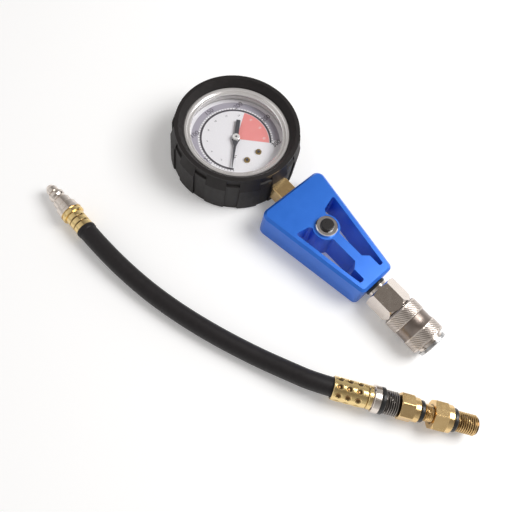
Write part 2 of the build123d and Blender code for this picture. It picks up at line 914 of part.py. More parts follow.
# Needle: a tapered pointer, a collar, and a straight tail, on a boss
with BuildPart() as needle:
    with BuildSketch(Plane.XY.offset(needle_level)) as needle_face:
        with BuildLine():
            Polyline(
                needle_heading * needle_tip_radius + needle_side * (needle_point_width / 2),
                needle_heading * needle_collar_reach + needle_side * (needle_blade_width / 2),
                needle_heading * needle_boss_radius + needle_side * (needle_collar_width / 2),
                needle_side * (needle_collar_width / 2),
                needle_side * (needle_tail_width / 2) - needle_heading * needle_boss_radius,
                needle_side * (needle_tail_width / 2) - needle_heading * needle_tail_radius,
                -needle_side * (needle_tail_width / 2) - needle_heading * needle_tail_radius,
                -needle_side * (needle_tail_width / 2) - needle_heading * needle_boss_radius,
                -needle_side * (needle_collar_width / 2),
                needle_heading * needle_boss_radius - needle_side * (needle_collar_width / 2),
                needle_heading * needle_collar_reach - needle_side * (needle_blade_width / 2),
                needle_heading * needle_tip_radius - needle_side * (needle_point_width / 2),
                close=True,
            )
        make_face()
    extrude(needle_face.sketch, amount=needle_thickness)
    bar(dial_line, needle_level - needle_boss_height, needle_level, needle_boss_radius)
    bar(
        dial_line,
        needle_level - needle_boss_height,
        shaft_top,
        pivot_radius,
        Mode.SUBTRACT,
    )
keep(needle, "needle")

with BuildPart() as needle_cap:
    bar(dial_line, shaft_top, shaft_top + needle_cap_height, needle_cap_radius)
    fillet(needle_cap.edges().sort_by(Axis.Z)[-1], needle_cap_round)
keep(needle_cap, "needle_cap")


def side_at(reach):
    """Half the handle's width at a distance from the dial's axis."""
    taper = (handle_wide - handle_narrow) / 2 / (handle_end - handle_start)
    return handle_wide / 2 - taper * (reach - handle_start)


def cut_window(side, top, turn, boss_deg, spine, slot):
    """Cut one of the handle's two windows. side is -1 on the left and 1 on the right."""
    boss_drop = sqrt(boss_radius**2 - spine**2)
    boss_start = (
        boss_radius * cos(radians(boss_deg)),
        boss_radius * sin(radians(boss_deg)) - button_reach,
    )
    boss_middle = (side * boss_radius, -button_reach)
    boss_end = (side * spine, -button_reach - boss_drop)
    outer_start = (side * (side_at(top) - window_wall), -top)
    outer_end = (side * (side_at(window_end) - window_wall), -window_end)
    with BuildSketch() as window:
        with BuildLine():
            Polyline(outer_start, (side * turn[0], -turn[1]), boss_start)
            ThreePointArc(boss_start, boss_middle, boss_end)
            Polyline(
                boss_end,
                (side * spine, -spine_end),
                (side * slot, -slot_start),
                (side * slot, -window_end),
                outer_end,
                outer_start,
            )
        make_face()
        corners = window.vertices().filter_by(
            lambda corner: min(abs(corner.Y + slot_start), abs(corner.Y + spine_end)) > seat_gap
        )
        fillet(corners, window_corner)
    extrude(window.sketch, amount=handle_top + overrun, mode=Mode.SUBTRACT)


# Handle: a tapered block with two windows, a valve chamber and the gas passage
with BuildPart() as handle_body:
    with BuildSketch(Plane.XY.offset(handle_bottom)) as handle_plan:
        with BuildLine():
            Polyline(
                (-handle_wide / 2, -handle_start),
                (handle_wide / 2, -handle_start),
                (handle_narrow / 2, -handle_end),
                (-handle_narrow / 2, -handle_end),
                close=True,
            )
        make_face()
        fillet(handle_plan.vertices().group_by(Axis.Y)[-1], handle_corner)
        fillet(handle_plan.vertices().group_by(Axis.Y)[0], handle_small_corner)
    extrude(handle_plan.sketch, amount=handle_top - handle_bottom)
    chamfer(handle_body.edges().group_by(Axis.Z)[-1], handle_top_edge)
    chamfer(handle_body.edges().group_by(Axis.Z)[0], handle_bottom_edge)
    cut_window(
        -1, left_window_top, left_window_turn, left_window_boss_deg, left_spine, left_slot
    )
    cut_window(
        1, right_window_top, right_window_turn, right_window_boss_deg, right_spine, right_slot
    )
    with Locations((0, -button_reach, handle_top)):
        CounterBoreHole(
            valve_chamber_radius,
            valve_bore_radius,
            handle_top - valve_seat_level,
            handle_top - valve_chamber_bottom,
        )
    stem_socket_end = handle_start + stem_thread_length + seat_gap
    bar(
        head_line,
        handle_start,
        stem_socket_end,
        stem_thread_radius + running_clearance,
        Mode.SUBTRACT,
    )
    bar(head_line, stem_socket_end, thread_start, passage_radius, Mode.SUBTRACT)
    bar(
        head_line,
        thread_start - seat_gap,
        handle_end,
        coupler_thread_radius + running_clearance,
        Mode.SUBTRACT,
    )
keep(handle_body, "handle_body")

# Release valve: seat, threaded ring, button with its stem and seal, and the spring below
seat_top = valve_seat_level + valve_seat_thickness
lip_level = handle_top + valve_ring_height - button_lip
flange_top = lip_level - seat_gap
flange_level = flange_top - button_flange_thickness
with BuildPart() as valve_seat:
    outer = valve_bore_radius - running_clearance
    spin(
        button_line,
        [
            (valve_seat_level, valve_seat_hole),
            (valve_seat_level, outer),
            (seat_top, outer),
            (seat_top, valve_seat_hole),
        ],
    )
keep(valve_seat, "valve_seat")

with BuildPart() as valve_ring:
    ring_top = handle_top + valve_ring_height
    lip_radius = button_radius + slip_clearance
    spin(
        button_line,
        [
            (seat_top, valve_bore_radius - running_clearance - valve_ring_wall),
            (seat_top, valve_bore_radius - running_clearance),
            (handle_top, valve_bore_radius - running_clearance),
            (handle_top, valve_ring_radius),
            (ring_top - valve_ring_bevel, valve_ring_radius),
            (ring_top, valve_ring_radius - valve_ring_bevel),
            (ring_top, lip_radius),
            (lip_level, lip_radius),
            (lip_level, valve_bore_radius - running_clearance - valve_ring_wall),
        ],
    )
keep(valve_ring, "valve_ring")

with BuildPart() as release_button:
    button_top = handle_top + button_rise
    bar(button_line, flange_level, flange_top, button_flange_radius)
    bar(button_line, flange_top, button_top, button_radius)
    fillet(release_button.edges().sort_by(Axis.Z)[-1], button_round)
keep(release_button, "release_button")

seal_level = valve_seat_level - valve_seal_thickness
head_level = seal_level - valve_head_thickness
with BuildPart() as valve_stem:
    bar(button_line, seal_level, flange_level, valve_stem_radius)
    bar(button_line, head_level, seal_level, valve_head_radius)
    bar(button_line, head_level - valve_spigot_length, head_level, valve_spigot_radius)
keep(valve_stem, "valve_stem")

with BuildPart() as valve_seal:
    spin(
        button_line,
        [
            (seal_level, valve_stem_radius),
            (seal_level, valve_head_radius),
            (valve_seat_level - running_clearance, valve_head_radius),
            (valve_seat_level - running_clearance, valve_stem_radius),
        ],
    )
keep(valve_seal, "valve_seal")

valve_spring = coil(
    button_line,
    valve_chamber_bottom,
    head_level,
    valve_spring_radius,
    valve_spring_wire,
    valve_spring_turns,
)
keep(valve_spring, "valve_spring")

# Coupler body: thread, neck, hexagon, and a barrel with the plug's bore
with BuildPart() as coupler_body:
    bar(head_line, thread_start, handle_end, coupler_thread_radius)
    bar(head_line, handle_end, neck_seal_end, coupler_relief_radius)
    bar(head_line, neck_seal_end, hex_start, coupler_neck_radius)
    add(hexagon(head_line, hex_start, hex_end, hex_flats, hex_turn_deg, hex_long_chamfer_deg))
    bar(head_line, hex_end, barrel_end, barrel_radius)
    bar(head_line, barrel_end, coupler_end, barrel_neck_radius)
    bar(head_line, coupler_mouth_start, coupler_end, coupler_mouth_radius, Mode.SUBTRACT)
    bar(
        head_line,
        coupler_bore_bottom,
        coupler_mouth_start,
        coupler_bore_radius,
        Mode.SUBTRACT,
    )
    bar(
        head_line,
        coupler_bore_bottom - coupler_seal_width,
        coupler_bore_bottom,
        coupler_chamber_radius,
        Mode.SUBTRACT,
    )
    bar(head_line, coupler_chamber_end, coupler_bore_bottom, coupler_throat_radius, Mode.SUBTRACT)
    bar(
        head_line,
        coupler_chamber_start,
        coupler_chamber_end,
        coupler_chamber_radius,
        Mode.SUBTRACT,
    )
    bar(head_line, thread_start, coupler_chamber_start, coupler_tail_bore, Mode.SUBTRACT)
    with BuildPart(mode=Mode.PRIVATE) as ball_holes:
        ball_plane = across(head_line, ball_reach)
        for index in range(ball_count):
            spoke = ball_plane.x_dir.rotate(Axis.Y, index * 360 / ball_count + ball_turn_deg)
            hole_line = line_at(ball_plane.origin, spoke, (0, 1, 0))
            bar(hole_line, coupler_bore_radius - overrun, ball_seat_reach, ball_seat_radius)
            bar(
                hole_line,
                ball_seat_reach,
                barrel_radius + overrun,
                ball_radius + slip_clearance,
            )
    add(ball_holes.part, mode=Mode.SUBTRACT)
keep(coupler_body, "coupler_body")

rubber_washer(
    "neck_seal", head_line, handle_end, neck_seal_end, coupler_relief_radius, neck_seal_radius
)

# Sleeve: two bands with a groove between them, a room inside for its spring and one that the
# balls move out into
sleeve_bore = barrel_radius + slip_clearance
with BuildPart() as coupler_sleeve:
    spin(
        head_line,
        [
            (sleeve_start, sleeve_spring_room),
            (sleeve_start, sleeve_radius - sleeve_bevel),
            (sleeve_start + sleeve_bevel, sleeve_radius),
            (sleeve_groove_start, sleeve_radius),
            (sleeve_groove_start + sleeve_bevel, sleeve_groove_radius),
            (sleeve_groove_run, sleeve_groove_radius),
            (sleeve_groove_end, sleeve_radius),
            (sleeve_end - sleeve_bevel, sleeve_radius),
            (sleeve_end, sleeve_radius - sleeve_bevel),
            (sleeve_end, sleeve_bore),
            (sleeve_recess_end, sleeve_bore),
            (sleeve_recess_end, sleeve_recess_radius),
            (sleeve_recess_start, sleeve_recess_radius),
            (sleeve_recess_start, sleeve_bore),
            (sleeve_room_end, sleeve_bore),
            (sleeve_room_end, sleeve_spring_room),
        ],
    )
keep(coupler_sleeve, "coupler_sleeve")

sleeve_spring = coil(
    head_line,
    hex_end,
    sleeve_room_end,
    (barrel_radius + sleeve_spring_room) / 2,
    sleeve_spring_wire,
    sleeve_spring_turns,
)
keep(sleeve_spring, "sleeve_spring")

with BuildPart() as locking_balls:
    for index in range(ball_count):
        spoke = ball_plane.x_dir.rotate(Axis.Y, index * 360 / ball_count + ball_turn_deg)
        with Locations(ball_plane.origin + spoke * ball_offset):
            Sphere(ball_radius)
keep(locking_balls, "locking_balls")

with BuildPart() as retaining_ring:
    spin(
        head_line,
        [
            (retaining_ring_start, barrel_neck_radius),
            (retaining_ring_start, retaining_ring_radius),
            (coupler_end - edge_bevel, retaining_ring_radius),
            (coupler_end, retaining_ring_radius - edge_bevel),
            (coupler_end, barrel_neck_radius),
        ],
    )
keep(retaining_ring, "retaining_ring")

with BuildPart() as coupler_seal:
    spin(
        head_line,
        [
            (coupler_bore_bottom - coupler_seal_width, coupler_seal_inner),
            (coupler_bore_bottom - coupler_seal_width, coupler_chamber_radius),
            (coupler_bore_bottom, coupler_chamber_radius),
            (coupler_bore_bottom, coupler_seal_inner),
        ],
    )
keep(coupler_seal, "coupler_seal")

# Coupler valve: a cup with a nose in the throat and a seal on its shoulder
valve_face = coupler_chamber_end - coupler_valve_seal
with BuildPart() as coupler_valve:
    bar(head_line, valve_face - coupler_valve_length, valve_face, coupler_valve_radius)
    bar(head_line, valve_face, coupler_chamber_end + coupler_valve_rise, coupler_valve_nose)
    bar(
        head_line,
        valve_face - coupler_valve_length,
        valve_face - coupler_valve_length / 2,
        coupler_valve_nose - coupler_valve_seal,
        Mode.SUBTRACT,
    )
keep(coupler_valve, "coupler_valve")

with BuildPart() as coupler_valve_seal:
    spin(
        head_line,
        [
            (valve_face, coupler_valve_nose),
            (valve_face, coupler_valve_radius),
            (coupler_chamber_end - running_clearance, coupler_valve_radius),
            (coupler_chamber_end - running_clearance, coupler_valve_nose),
        ],
    )
keep(coupler_valve_seal, "coupler_valve_seal")

coupler_spring = coil(
    head_line,
    coupler_chamber_start,
    valve_face - coupler_valve_length,
    coupler_spring_radius,
    coupler_spring_wire,
    coupler_spring_turns,
)
keep(coupler_spring, "coupler_spring")


def barb_outline(root, tip):
    """The saw-toothed outline of a barbed stem from its root to its tip, as (along, radius)."""
    step = (tip - root) / barb_count
    points = [(root, barb_radius)]
    for index in range(1, barb_count):
        points.append((root + index * step, barb_tip_radius))
        points.append((root + index * step, barb_radius))
    return [*points, (tip, barb_tip_radius)]


# Hose: one tube along its route, with crimped ends that are drilled for the barbs
route = [Vector(*point) for point in hose_route]
runs = [end - start for start, end in zip(route, route[1:])]
turns_deg = [before.get_angle(after) for before, after in zip(runs, runs[1:])]
route_radii = [
    route_share * min(before.length, after.length) / tan(radians(turn / 2))
    for before, after, turn in zip(runs, runs[1:], turns_deg)
]
print("hose route radii", [round(radius, 1) for radius in route_radii])
with BuildPart() as hose:
    with BuildLine():
        hose_path = FilletPolyline(*route, radius=route_radii)
    with BuildSketch(Plane(origin=hose_path @ 0, z_dir=hose_path % 0)):
        Circle(hose_radius)
    sweep(path=hose_path)
    print("hose length", round(hose_path.length, 2), "volume", round(hose.part.volume, 1))
    print("section times length", round(pi * hose_radius**2 * hose_path.length, 1))
    bar(plug_line, plug_ferrule_start, plug_ferrule_end - seat_gap, crimp_radius)
    bar(
        plug_line,
        plug_ferrule_start - overrun,
        plug_ferrule_end,
        barb_radius + slip_clearance,
        Mode.SUBTRACT,
    )
    bar(
        end_line,
        end_ferrule_start,
        end_ferrule_end,
        barb_radius + slip_clearance,
        Mode.SUBTRACT,
    )
keep(hose, "hose")

# Plug end: a crimped ferrule with a ring, and the plug with its barbed stem
with BuildPart() as plug_ferrule:
    groove_half = plug_ferrule_groove_width / 2
    outline = [(plug_ferrule_start, crimp_radius + slip_clearance)]
    outline.append((plug_ferrule_start, plug_ferrule_radius))
    for groove in plug_ferrule_grooves:
        outline.append((groove - groove_half, plug_ferrule_radius))
        outline.append((groove, plug_ferrule_radius - plug_ferrule_groove))
        outline.append((groove + groove_half, plug_ferrule_radius))
    ring_middle = (plug_ferrule_end + plug_ring_end) / 2
    outline += [
        (plug_ferrule_end, plug_ferrule_radius),
        (plug_ferrule_end, plug_ring_radius - edge_bevel),
        (plug_ferrule_end + edge_bevel, plug_ring_radius),
        (ring_middle - groove_half, plug_ring_radius),
        (ring_middle - groove_half, plug_ring_radius - plug_ring_groove),
        (ring_middle + groove_half, plug_ring_radius - plug_ring_groove),
        (ring_middle + groove_half, plug_ring_radius),
        (plug_ring_end - edge_bevel, plug_ring_radius),
        (plug_ring_end, plug_ring_radius - edge_bevel),
        (plug_ring_end, barb_radius + slip_clearance),
        (plug_ferrule_end, barb_radius + slip_clearance),
        (plug_ferrule_end, crimp_radius + slip_clearance),
    ]
    spin(plug_line, outline)
keep(plug_ferrule, "plug_ferrule")

with BuildPart() as hose_plug:
    spin(
        plug_line,
        [
            (plug_ferrule_start + barb_setback, hose_gas_radius),
            *reversed(barb_outline(plug_ferrule_end, plug_ferrule_start + barb_setback)),
            (plug_ring_end, barb_radius),
            (plug_ring_end, plug_shoulder_radius - edge_bevel),
            (plug_ring_end + edge_bevel, plug_shoulder_radius),
            (plug_shoulder_end - plug_shoulder_bevel, plug_shoulder_radius),
            (plug_shoulder_end, plug_shoulder_radius - plug_shoulder_bevel),
            (plug_shoulder_end, plug_body_radius),
            (plug_body_end, plug_body_radius),
            (plug_ball_groove[0], plug_ball_groove_radius),
            (plug_ball_groove[1], plug_ball_groove_radius),
            (plug_collar_start, plug_collar_radius),
            (plug_collar_end - edge_bevel, plug_collar_radius),
            (plug_collar_end, plug_collar_radius - edge_bevel),
            (plug_collar_end, plug_groove_radius),
            (plug_groove_end, plug_groove_radius),
            (plug_groove_end, plug_nose_radius),
            (plug_nose_end, plug_nose_radius),
            (plug_tip_end, plug_tip_radius),
            (plug_tip_end, hose_gas_radius),
        ],
    )
keep(hose_plug, "hose_plug")

# Threaded end: crimped ferrule, collar, rubber ring and the fitting with its barbed stem
with BuildPart() as end_ferrule:
    spin(
        end_line,
        [
            (end_ferrule_start, hose_radius + seat_gap),
            (end_ferrule_start, end_ferrule_radius - edge_bevel),
            (end_ferrule_start + edge_bevel, end_ferrule_radius),
            (end_ferrule_groove - groove_half, end_ferrule_radius),
            (end_ferrule_groove, end_ferrule_radius - plug_ferrule_groove),
            (end_ferrule_groove + groove_half, end_ferrule_radius),
            (end_ferrule_end, end_ferrule_radius),
            (end_ferrule_end, barb_radius + slip_clearance),
            (end_ferrule_end - end_ferrule_lip, barb_radius + slip_clearance),
            (end_ferrule_end - end_ferrule_lip, hose_radius + seat_gap),
        ],
    )
    for row in dimple_rows:
        for index in range(dimple_count):
            turn = index * 360 / dimple_count
            spoke = Vector(0, 0, 1).rotate(Axis((0, 0, 0), end_line.x_dir), turn)
            with Locations(
                end_line.origin
                + end_line.x_dir * row
                + spoke * (end_ferrule_radius + dimple_radius - dimple_depth)
            ):
                Sphere(dimple_radius, mode=Mode.SUBTRACT)
keep(end_ferrule, "end_ferrule")

with BuildPart() as end_collar:
    spin(
        end_line,
        [
            (end_ferrule_end, barb_radius + slip_clearance),
            (end_ferrule_end, end_collar_neck),
            (end_collar_start, end_collar_neck),
            (end_collar_start, end_collar_radius - edge_bevel),
            (end_collar_start + edge_bevel, end_collar_radius),
            (end_collar_end - edge_bevel, end_collar_radius),
            (end_collar_end, end_collar_radius - edge_bevel),
            (end_collar_end, barb_radius + slip_clearance),
        ],
    )
keep(end_collar, "end_collar")

with BuildPart() as end_fitting:
    barb_end = end_ferrule_start + 2 * barb_setback
    socket_radius = spigot_radius + running_clearance
    spin(
        end_line,
        [
            (barb_end, hose_gas_radius),
            *reversed(barb_outline(end_ferrule_end - end_ferrule_lip, barb_end)),
            (end_collar_end, barb_radius),
            (end_collar_end, end_seal_seat),
            (end_seal_end, end_seal_seat),
            (end_seal_end, end_thread_radius),
            (end_hex_start - end_thread_bevel, end_thread_radius),
            (end_hex_start, end_thread_radius - end_thread_bevel),
            (end_hex_start, socket_radius),
            (end_socket_start, socket_radius),
            (end_socket_start, hose_gas_radius),
        ],
    )
keep(end_fitting, "end_fitting")


rubber_washer("end_seal", end_line, end_collar_end, end_seal_end, end_seal_seat, end_seal_radius)

# First adapter: a threaded spigot in the fitting, hexagon, flange, and a neck into the second
with BuildPart() as first_adapter:
    bar(end_line, end_socket_start + seat_gap, end_hex_start, spigot_radius)
    add(hexagon(end_line, end_hex_start, end_hex_end, end_hex_flats, end_hex_turn_deg))
    bar(end_line, end_hex_end, end_flange_end, end_flange_radius)
    bar(end_line, end_flange_end, first_neck_end, first_neck_radius)
    bar(end_line, end_socket_start, first_neck_end, hose_gas_radius, Mode.SUBTRACT)
keep(first_adapter, "first_adapter")

rubber_washer(
    "first_seal", end_line, end_flange_end, first_seal_end, first_neck_radius, first_seal_radius
)

# Second adapter: hexagon, flange, and the thread that goes into the engine
with BuildPart() as second_adapter:
    add(hexagon(end_line, second_hex_start, second_hex_end, second_hex_flats, second_hex_turn_deg))
    bar(end_line, second_hex_end, second_flange_end, second_flange_radius)
    spin(
        end_line,
        [
            (second_flange_end, 0),
            (second_flange_end, tip_relief_radius),
            (second_seal_end, tip_relief_radius),
            (second_seal_end, tip_thread_radius),
            (tip_thread_end - tip_relief_length, tip_thread_radius),
            (tip_thread_end - tip_relief_length, tip_relief_radius),
            (tip_thread_end, tip_relief_radius - edge_bevel),
            (tip_thread_end, 0),
        ],
    )
    bar(
        end_line,
        second_hex_start,
        first_neck_end + seat_gap,
        first_neck_radius + running_clearance,
        Mode.SUBTRACT,
    )
    bar(end_line, first_neck_end, tip_thread_end, hose_gas_radius, Mode.SUBTRACT)
keep(second_adapter, "second_adapter")

rubber_washer(
    "second_seal",
    end_line,
    second_flange_end,
    second_seal_end,
    tip_relief_radius,
    second_seal_radius,
)
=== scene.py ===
# %% [markdown]
# A compression tester in two parts lies on a white table: a gauge head with a rubber boot, a blue
# handle and a quick coupler, and beside it a hose with a plug and screwed brass adapters. The
# machined shapes come ready made from the construction model. This lesson gives them their
# finishes, and adds what is too fine for that model: threads, knurling, print and the hose's line.

from math import cos, pi, radians, sin, tan

import bmesh
import bpy
import numpy as np
from mathutils import Matrix, Vector


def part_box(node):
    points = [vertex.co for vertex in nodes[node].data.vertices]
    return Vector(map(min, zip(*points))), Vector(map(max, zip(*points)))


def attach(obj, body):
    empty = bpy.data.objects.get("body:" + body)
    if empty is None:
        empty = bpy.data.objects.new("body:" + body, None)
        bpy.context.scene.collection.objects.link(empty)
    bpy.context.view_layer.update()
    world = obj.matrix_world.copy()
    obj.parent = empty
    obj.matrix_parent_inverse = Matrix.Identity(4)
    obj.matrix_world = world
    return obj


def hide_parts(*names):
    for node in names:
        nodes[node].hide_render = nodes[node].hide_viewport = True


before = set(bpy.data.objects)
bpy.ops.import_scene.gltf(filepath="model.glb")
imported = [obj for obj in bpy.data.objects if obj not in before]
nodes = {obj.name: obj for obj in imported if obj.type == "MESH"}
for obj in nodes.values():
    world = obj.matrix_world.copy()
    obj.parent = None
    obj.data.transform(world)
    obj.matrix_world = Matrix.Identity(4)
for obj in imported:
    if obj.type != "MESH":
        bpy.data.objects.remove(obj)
scene = bpy.context.scene
MM = 0.001


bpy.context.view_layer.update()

# %% [markdown]
# The camera looks down steeply, with the gauge near the top of the picture and the coupler at the
# lower right. A photographer's camera has a place, a direction and a roll about that direction, so
# the same three facts are written here, and the camera's axes are worked out from them. The lens
# is a little longer than a plain one, so the far hose end doesn't shrink too much.

# %% Camera
camera_place = Vector((-0.16476, -0.14336, 0.33356))
look_azimuth_deg = -58.2
look_down_deg = 66.05
roll_deg = 17.25
sensor_mm = 36.0
lens_mm = 40.78
nearest_seen = 0.01

forward = Vector(
    (
        -sin(radians(look_azimuth_deg)) * cos(radians(look_down_deg)),
        cos(radians(look_azimuth_deg)) * cos(radians(look_down_deg)),
        -sin(radians(look_down_deg)),
    )
)
level_right = forward.cross(Vector((0, 0, 1))).normalized()
level_up = level_right.cross(forward)
right = level_right * cos(radians(roll_deg)) + level_up * sin(radians(roll_deg))
up = right.cross(forward)

camera = bpy.data.objects.new("camera", bpy.data.cameras.new("camera"))
camera.data.sensor_width = sensor_mm
camera.data.lens = lens_mm
camera.data.clip_start = nearest_seen
axes = Matrix((right, up, -forward)).transposed()
camera.matrix_world = Matrix.Translation(camera_place) @ axes.to_4x4()
scene.collection.objects.link(camera)
scene.camera = camera
scene.view_settings.view_transform = "Standard"
print("camera looks along", [round(v, 3) for v in forward])

# %% [markdown]
# Metal has no colour of its own, so what it mirrors matters more than the lamps: polished flats
# that face up mirror the dim ceiling, and flats that face sideways mirror the white table. The
# world is therefore a soft gradient over the height of a direction, white at the horizon and dim
# overhead. Only the camera sees plain white in its place.


# %% World
def new_tree(owner):
    """Clear an owner's node tree and hand it back with a function that adds nodes to it."""
    owner.use_nodes = True
    tree = owner.node_tree
    tree.nodes.clear()

    def add(kind, **settings):
        node = tree.nodes.new(kind)
        for name, value in settings.items():
            if hasattr(node, name):
                setattr(node, name, value)
            else:
                node.inputs[name.replace("_", " ")].default_value = value
        return node

    return tree, add


zenith_grey = (0.30, 0.27, 0.245, 1)
horizon_white = (1.0, 1.0, 1.0, 1)
white_up_to = 0.25
grey_from = 0.95
world_strength = 0.62

world = bpy.data.worlds.new("studio")
scene.world = world
tree, add = new_tree(world)
direction = add("ShaderNodeTexCoord")
split = add("ShaderNodeSeparateXYZ")
ramp = add("ShaderNodeValToRGB")
low_stop, high_stop = ramp.color_ramp.elements
low_stop.position, low_stop.color = white_up_to, horizon_white
high_stop.position, high_stop.color = grey_from, zenith_grey
studio_light = add("ShaderNodeBackground", Strength=world_strength)
plain_white = add("ShaderNodeBackground", Color=horizon_white, Strength=1.0)
ray = add("ShaderNodeLightPath")
choose = add("ShaderNodeMixShader")
output = add("ShaderNodeOutputWorld")
tree.links.new(direction.outputs["Generated"], split.inputs[0])
tree.links.new(split.outputs["Z"], ramp.inputs["Fac"])
tree.links.new(ramp.outputs["Color"], studio_light.inputs["Color"])
tree.links.new(ray.outputs["Is Camera Ray"], choose.inputs["Fac"])
tree.links.new(studio_light.outputs[0], choose.inputs[1])
tree.links.new(plain_white.outputs[0], choose.inputs[2])
tree.links.new(choose.outputs[0], output.inputs[0])
print("world strength", world_strength)

# %% [markdown]
# The table is lit by one big soft box overhead, beyond the coupler, which gives the shadows their
# soft edge, and by a faint wide one from the far side, which opens them up again.


# %% Lamps
def lamp(name, place, target, size, watts):
    """A square soft box at a place, aimed at a target."""
    light = bpy.data.lights.new(name, "AREA")
    light.size = size
    light.energy = watts
    box = bpy.data.objects.new(name, light)
    box.location = place
    box.rotation_euler = (Vector(target) - Vector(place)).to_track_quat("-Z", "Y").to_euler()
    scene.collection.objects.link(box)
    print(name, "lamp", watts, "W")


table_middle = (-0.05, -0.08, 0.0)
key_place = (0.47, -0.44, 0.81)
fill_place = (-0.5, 0.5, 0.7)
lamp("key", key_place, table_middle, size=0.6, watts=8.6)
lamp("fill", fill_place, table_middle, size=0.9, watts=1.0)

# %% [markdown]
# The table is plain white card. To the camera, to mirrors and through glass it shows as pure
# white, darkened only where the tester shades it, and to everything else it is ordinary matt card.

# %% Floor
floor_size = 6.0
card_white = (0.93, 0.93, 0.93, 1)
card_lift = 0.16
bpy.ops.mesh.primitive_plane_add(size=floor_size, location=(0, 0, 0))
floor = bpy.context.object
floor.name = "floor"
card = bpy.data.materials.new("white_card")
floor.data.materials.append(card)
tree, add = new_tree(card)
matt = add("ShaderNodeBsdfDiffuse", Color=card_white)
lift = add("ShaderNodeEmission", Color=horizon_white)
rays = add("ShaderNodeLightPath")
mirrored = add("ShaderNodeMath", operation="MAXIMUM")
seen = add("ShaderNodeMath", operation="MAXIMUM")
scaled = add("ShaderNodeMath", operation="MULTIPLY")
scaled.inputs[1].default_value = card_lift
both = add("ShaderNodeAddShader")
output = add("ShaderNodeOutputMaterial")
tree.links.new(rays.outputs["Is Glossy Ray"], mirrored.inputs[0])
tree.links.new(rays.outputs["Is Transmission Ray"], mirrored.inputs[1])
tree.links.new(mirrored.outputs[0], seen.inputs[0])
tree.links.new(rays.outputs["Is Camera Ray"], seen.inputs[1])
tree.links.new(seen.outputs[0], scaled.inputs[0])
tree.links.new(scaled.outputs[0], lift.inputs["Strength"])
tree.links.new(matt.outputs[0], both.inputs[0])
tree.links.new(lift.outputs[0], both.inputs[1])
tree.links.new(both.outputs[0], output.inputs[0])
print("floor", floor_size, "m square")

# %% [markdown]
# Every finish below starts from one idea: real surfaces vary a little. A slow noise shifts the
# colour and the gloss, and a fine noise roughens the surface through a bump. Patterns read Object
# coordinates, which here are metres on the tester itself, so the grain has a true size. A finish
# can also paint shade into its grooves: it darkens whatever lies deeper than a groove's crest,
# measured as the distance from the axis that the piece was turned about.


# %% Finish helper
mm_in_metre = 1000
gloss_patches = 1.7
gloss_spread = 0.08


def grooved(tree, add, place, colour, origin, heading, root, crest, shade):
    """Paint shade into a groove: darken a colour towards a shade where a place lies between a
    groove's crest and root.

    The distance from the axis is the length of (place - origin) cross heading."""
    offset = add("ShaderNodeVectorMath", operation="SUBTRACT")
    offset.inputs[1].default_value = [v * MM for v in origin]
    across = add("ShaderNodeVectorMath", operation="CROSS_PRODUCT")
    across.inputs[1].default_value = heading
    reach = add("ShaderNodeVectorMath", operation="LENGTH")
    crest_share = add("ShaderNodeMapRange")
    crest_share.inputs["From Min"].default_value = root * MM
    crest_share.inputs["From Max"].default_value = crest * MM
    groove_shade_mix = add("ShaderNodeMix", data_type="RGBA")
    groove_shade_mix.inputs[6].default_value = (*shade, 1)
    tree.links.new(place, offset.inputs[0])
    tree.links.new(offset.outputs["Vector"], across.inputs[0])
    tree.links.new(across.outputs["Vector"], reach.inputs[0])
    tree.links.new(reach.outputs["Value"], crest_share.inputs["Value"])
    tree.links.new(crest_share.outputs["Result"], groove_shade_mix.inputs["Factor"])
    tree.links.new(colour, groove_shade_mix.inputs[7])
    return groove_shade_mix.outputs[2]


def finish(
    name,
    colour,
    second,
    rough,
    metal=0.0,
    *,
    patch_mm,
    grain_mm,
    bump=0.08,
    bump_mm=0.02,
    groove=None,
    **sockets,
):
    """A material that drifts between two colours over patches and is roughened by a fine grain.

    Colour is a mix of the two by noise; roughness is the middle value plus or minus the spread
    by a second noise; the normal tilts with the height of a third, finer noise. groove holds
    what grooved needs for painted shade in grooves: origin, heading, root, crest and shade."""
    material = bpy.data.materials.new(name)
    tree, add = new_tree(material)
    place = add("ShaderNodeTexCoord").outputs["Object"]
    shader = add("ShaderNodeBsdfPrincipled", Metallic=metal)
    for socket, value in sockets.items():
        shader.inputs[socket.replace("_", " ")].default_value = value
    patches = add("ShaderNodeTexNoise", Scale=mm_in_metre / patch_mm, Detail=3.0)
    mix = add("ShaderNodeMix", data_type="RGBA")
    mix.inputs[6].default_value = (*colour, 1)
    mix.inputs[7].default_value = (*second, 1)
    wear = add("ShaderNodeTexNoise", Scale=mm_in_metre / patch_mm * gloss_patches, Detail=4.0)
    spread = add("ShaderNodeMapRange")
    spread.inputs["To Min"].default_value = rough - gloss_spread
    spread.inputs["To Max"].default_value = rough + gloss_spread
    grain = add("ShaderNodeTexNoise", Scale=mm_in_metre / grain_mm, Detail=2.0)
    relief = add("ShaderNodeBump", Strength=bump, Distance=bump_mm * MM)
    output = add("ShaderNodeOutputMaterial")
    link = tree.links.new
    for texture in (patches, wear, grain):
        link(place, texture.inputs["Vector"])
    link(patches.outputs["Fac"], mix.inputs["Factor"])
    colour_out = mix.outputs[2]
    # Painted shade: where a finish names a groove, its colour darkens towards the groove's root.
    if groove:
        colour_out = grooved(tree, add, place, colour_out, *groove)
    link(colour_out, shader.inputs["Base Color"])
    link(wear.outputs["Fac"], spread.inputs["Value"])
    link(spread.outputs["Result"], shader.inputs["Roughness"])
    link(grain.outputs["Fac"], relief.inputs["Height"])
    link(relief.outputs["Normal"], shader.inputs["Normal"])
    link(shader.outputs[0], output.inputs["Surface"])
    return material


def wear_on(names, material):
    """Give CAD nodes a finish, in place of the plain one they came with."""
    for name in names:
        slots = nodes[name].data.materials
        slots.clear()
        slots.append(material)
    print(material.name, "on", len(names))


# %% [markdown]
# Three axes carry everything that was turned on a lathe: the coupler's, the plug's, and the one
# through the fitting and its adapters, which lies at an angle on the table. Each is a point in
# millimetres and a heading. The finishes need them for their grooves, and later the shapes do.

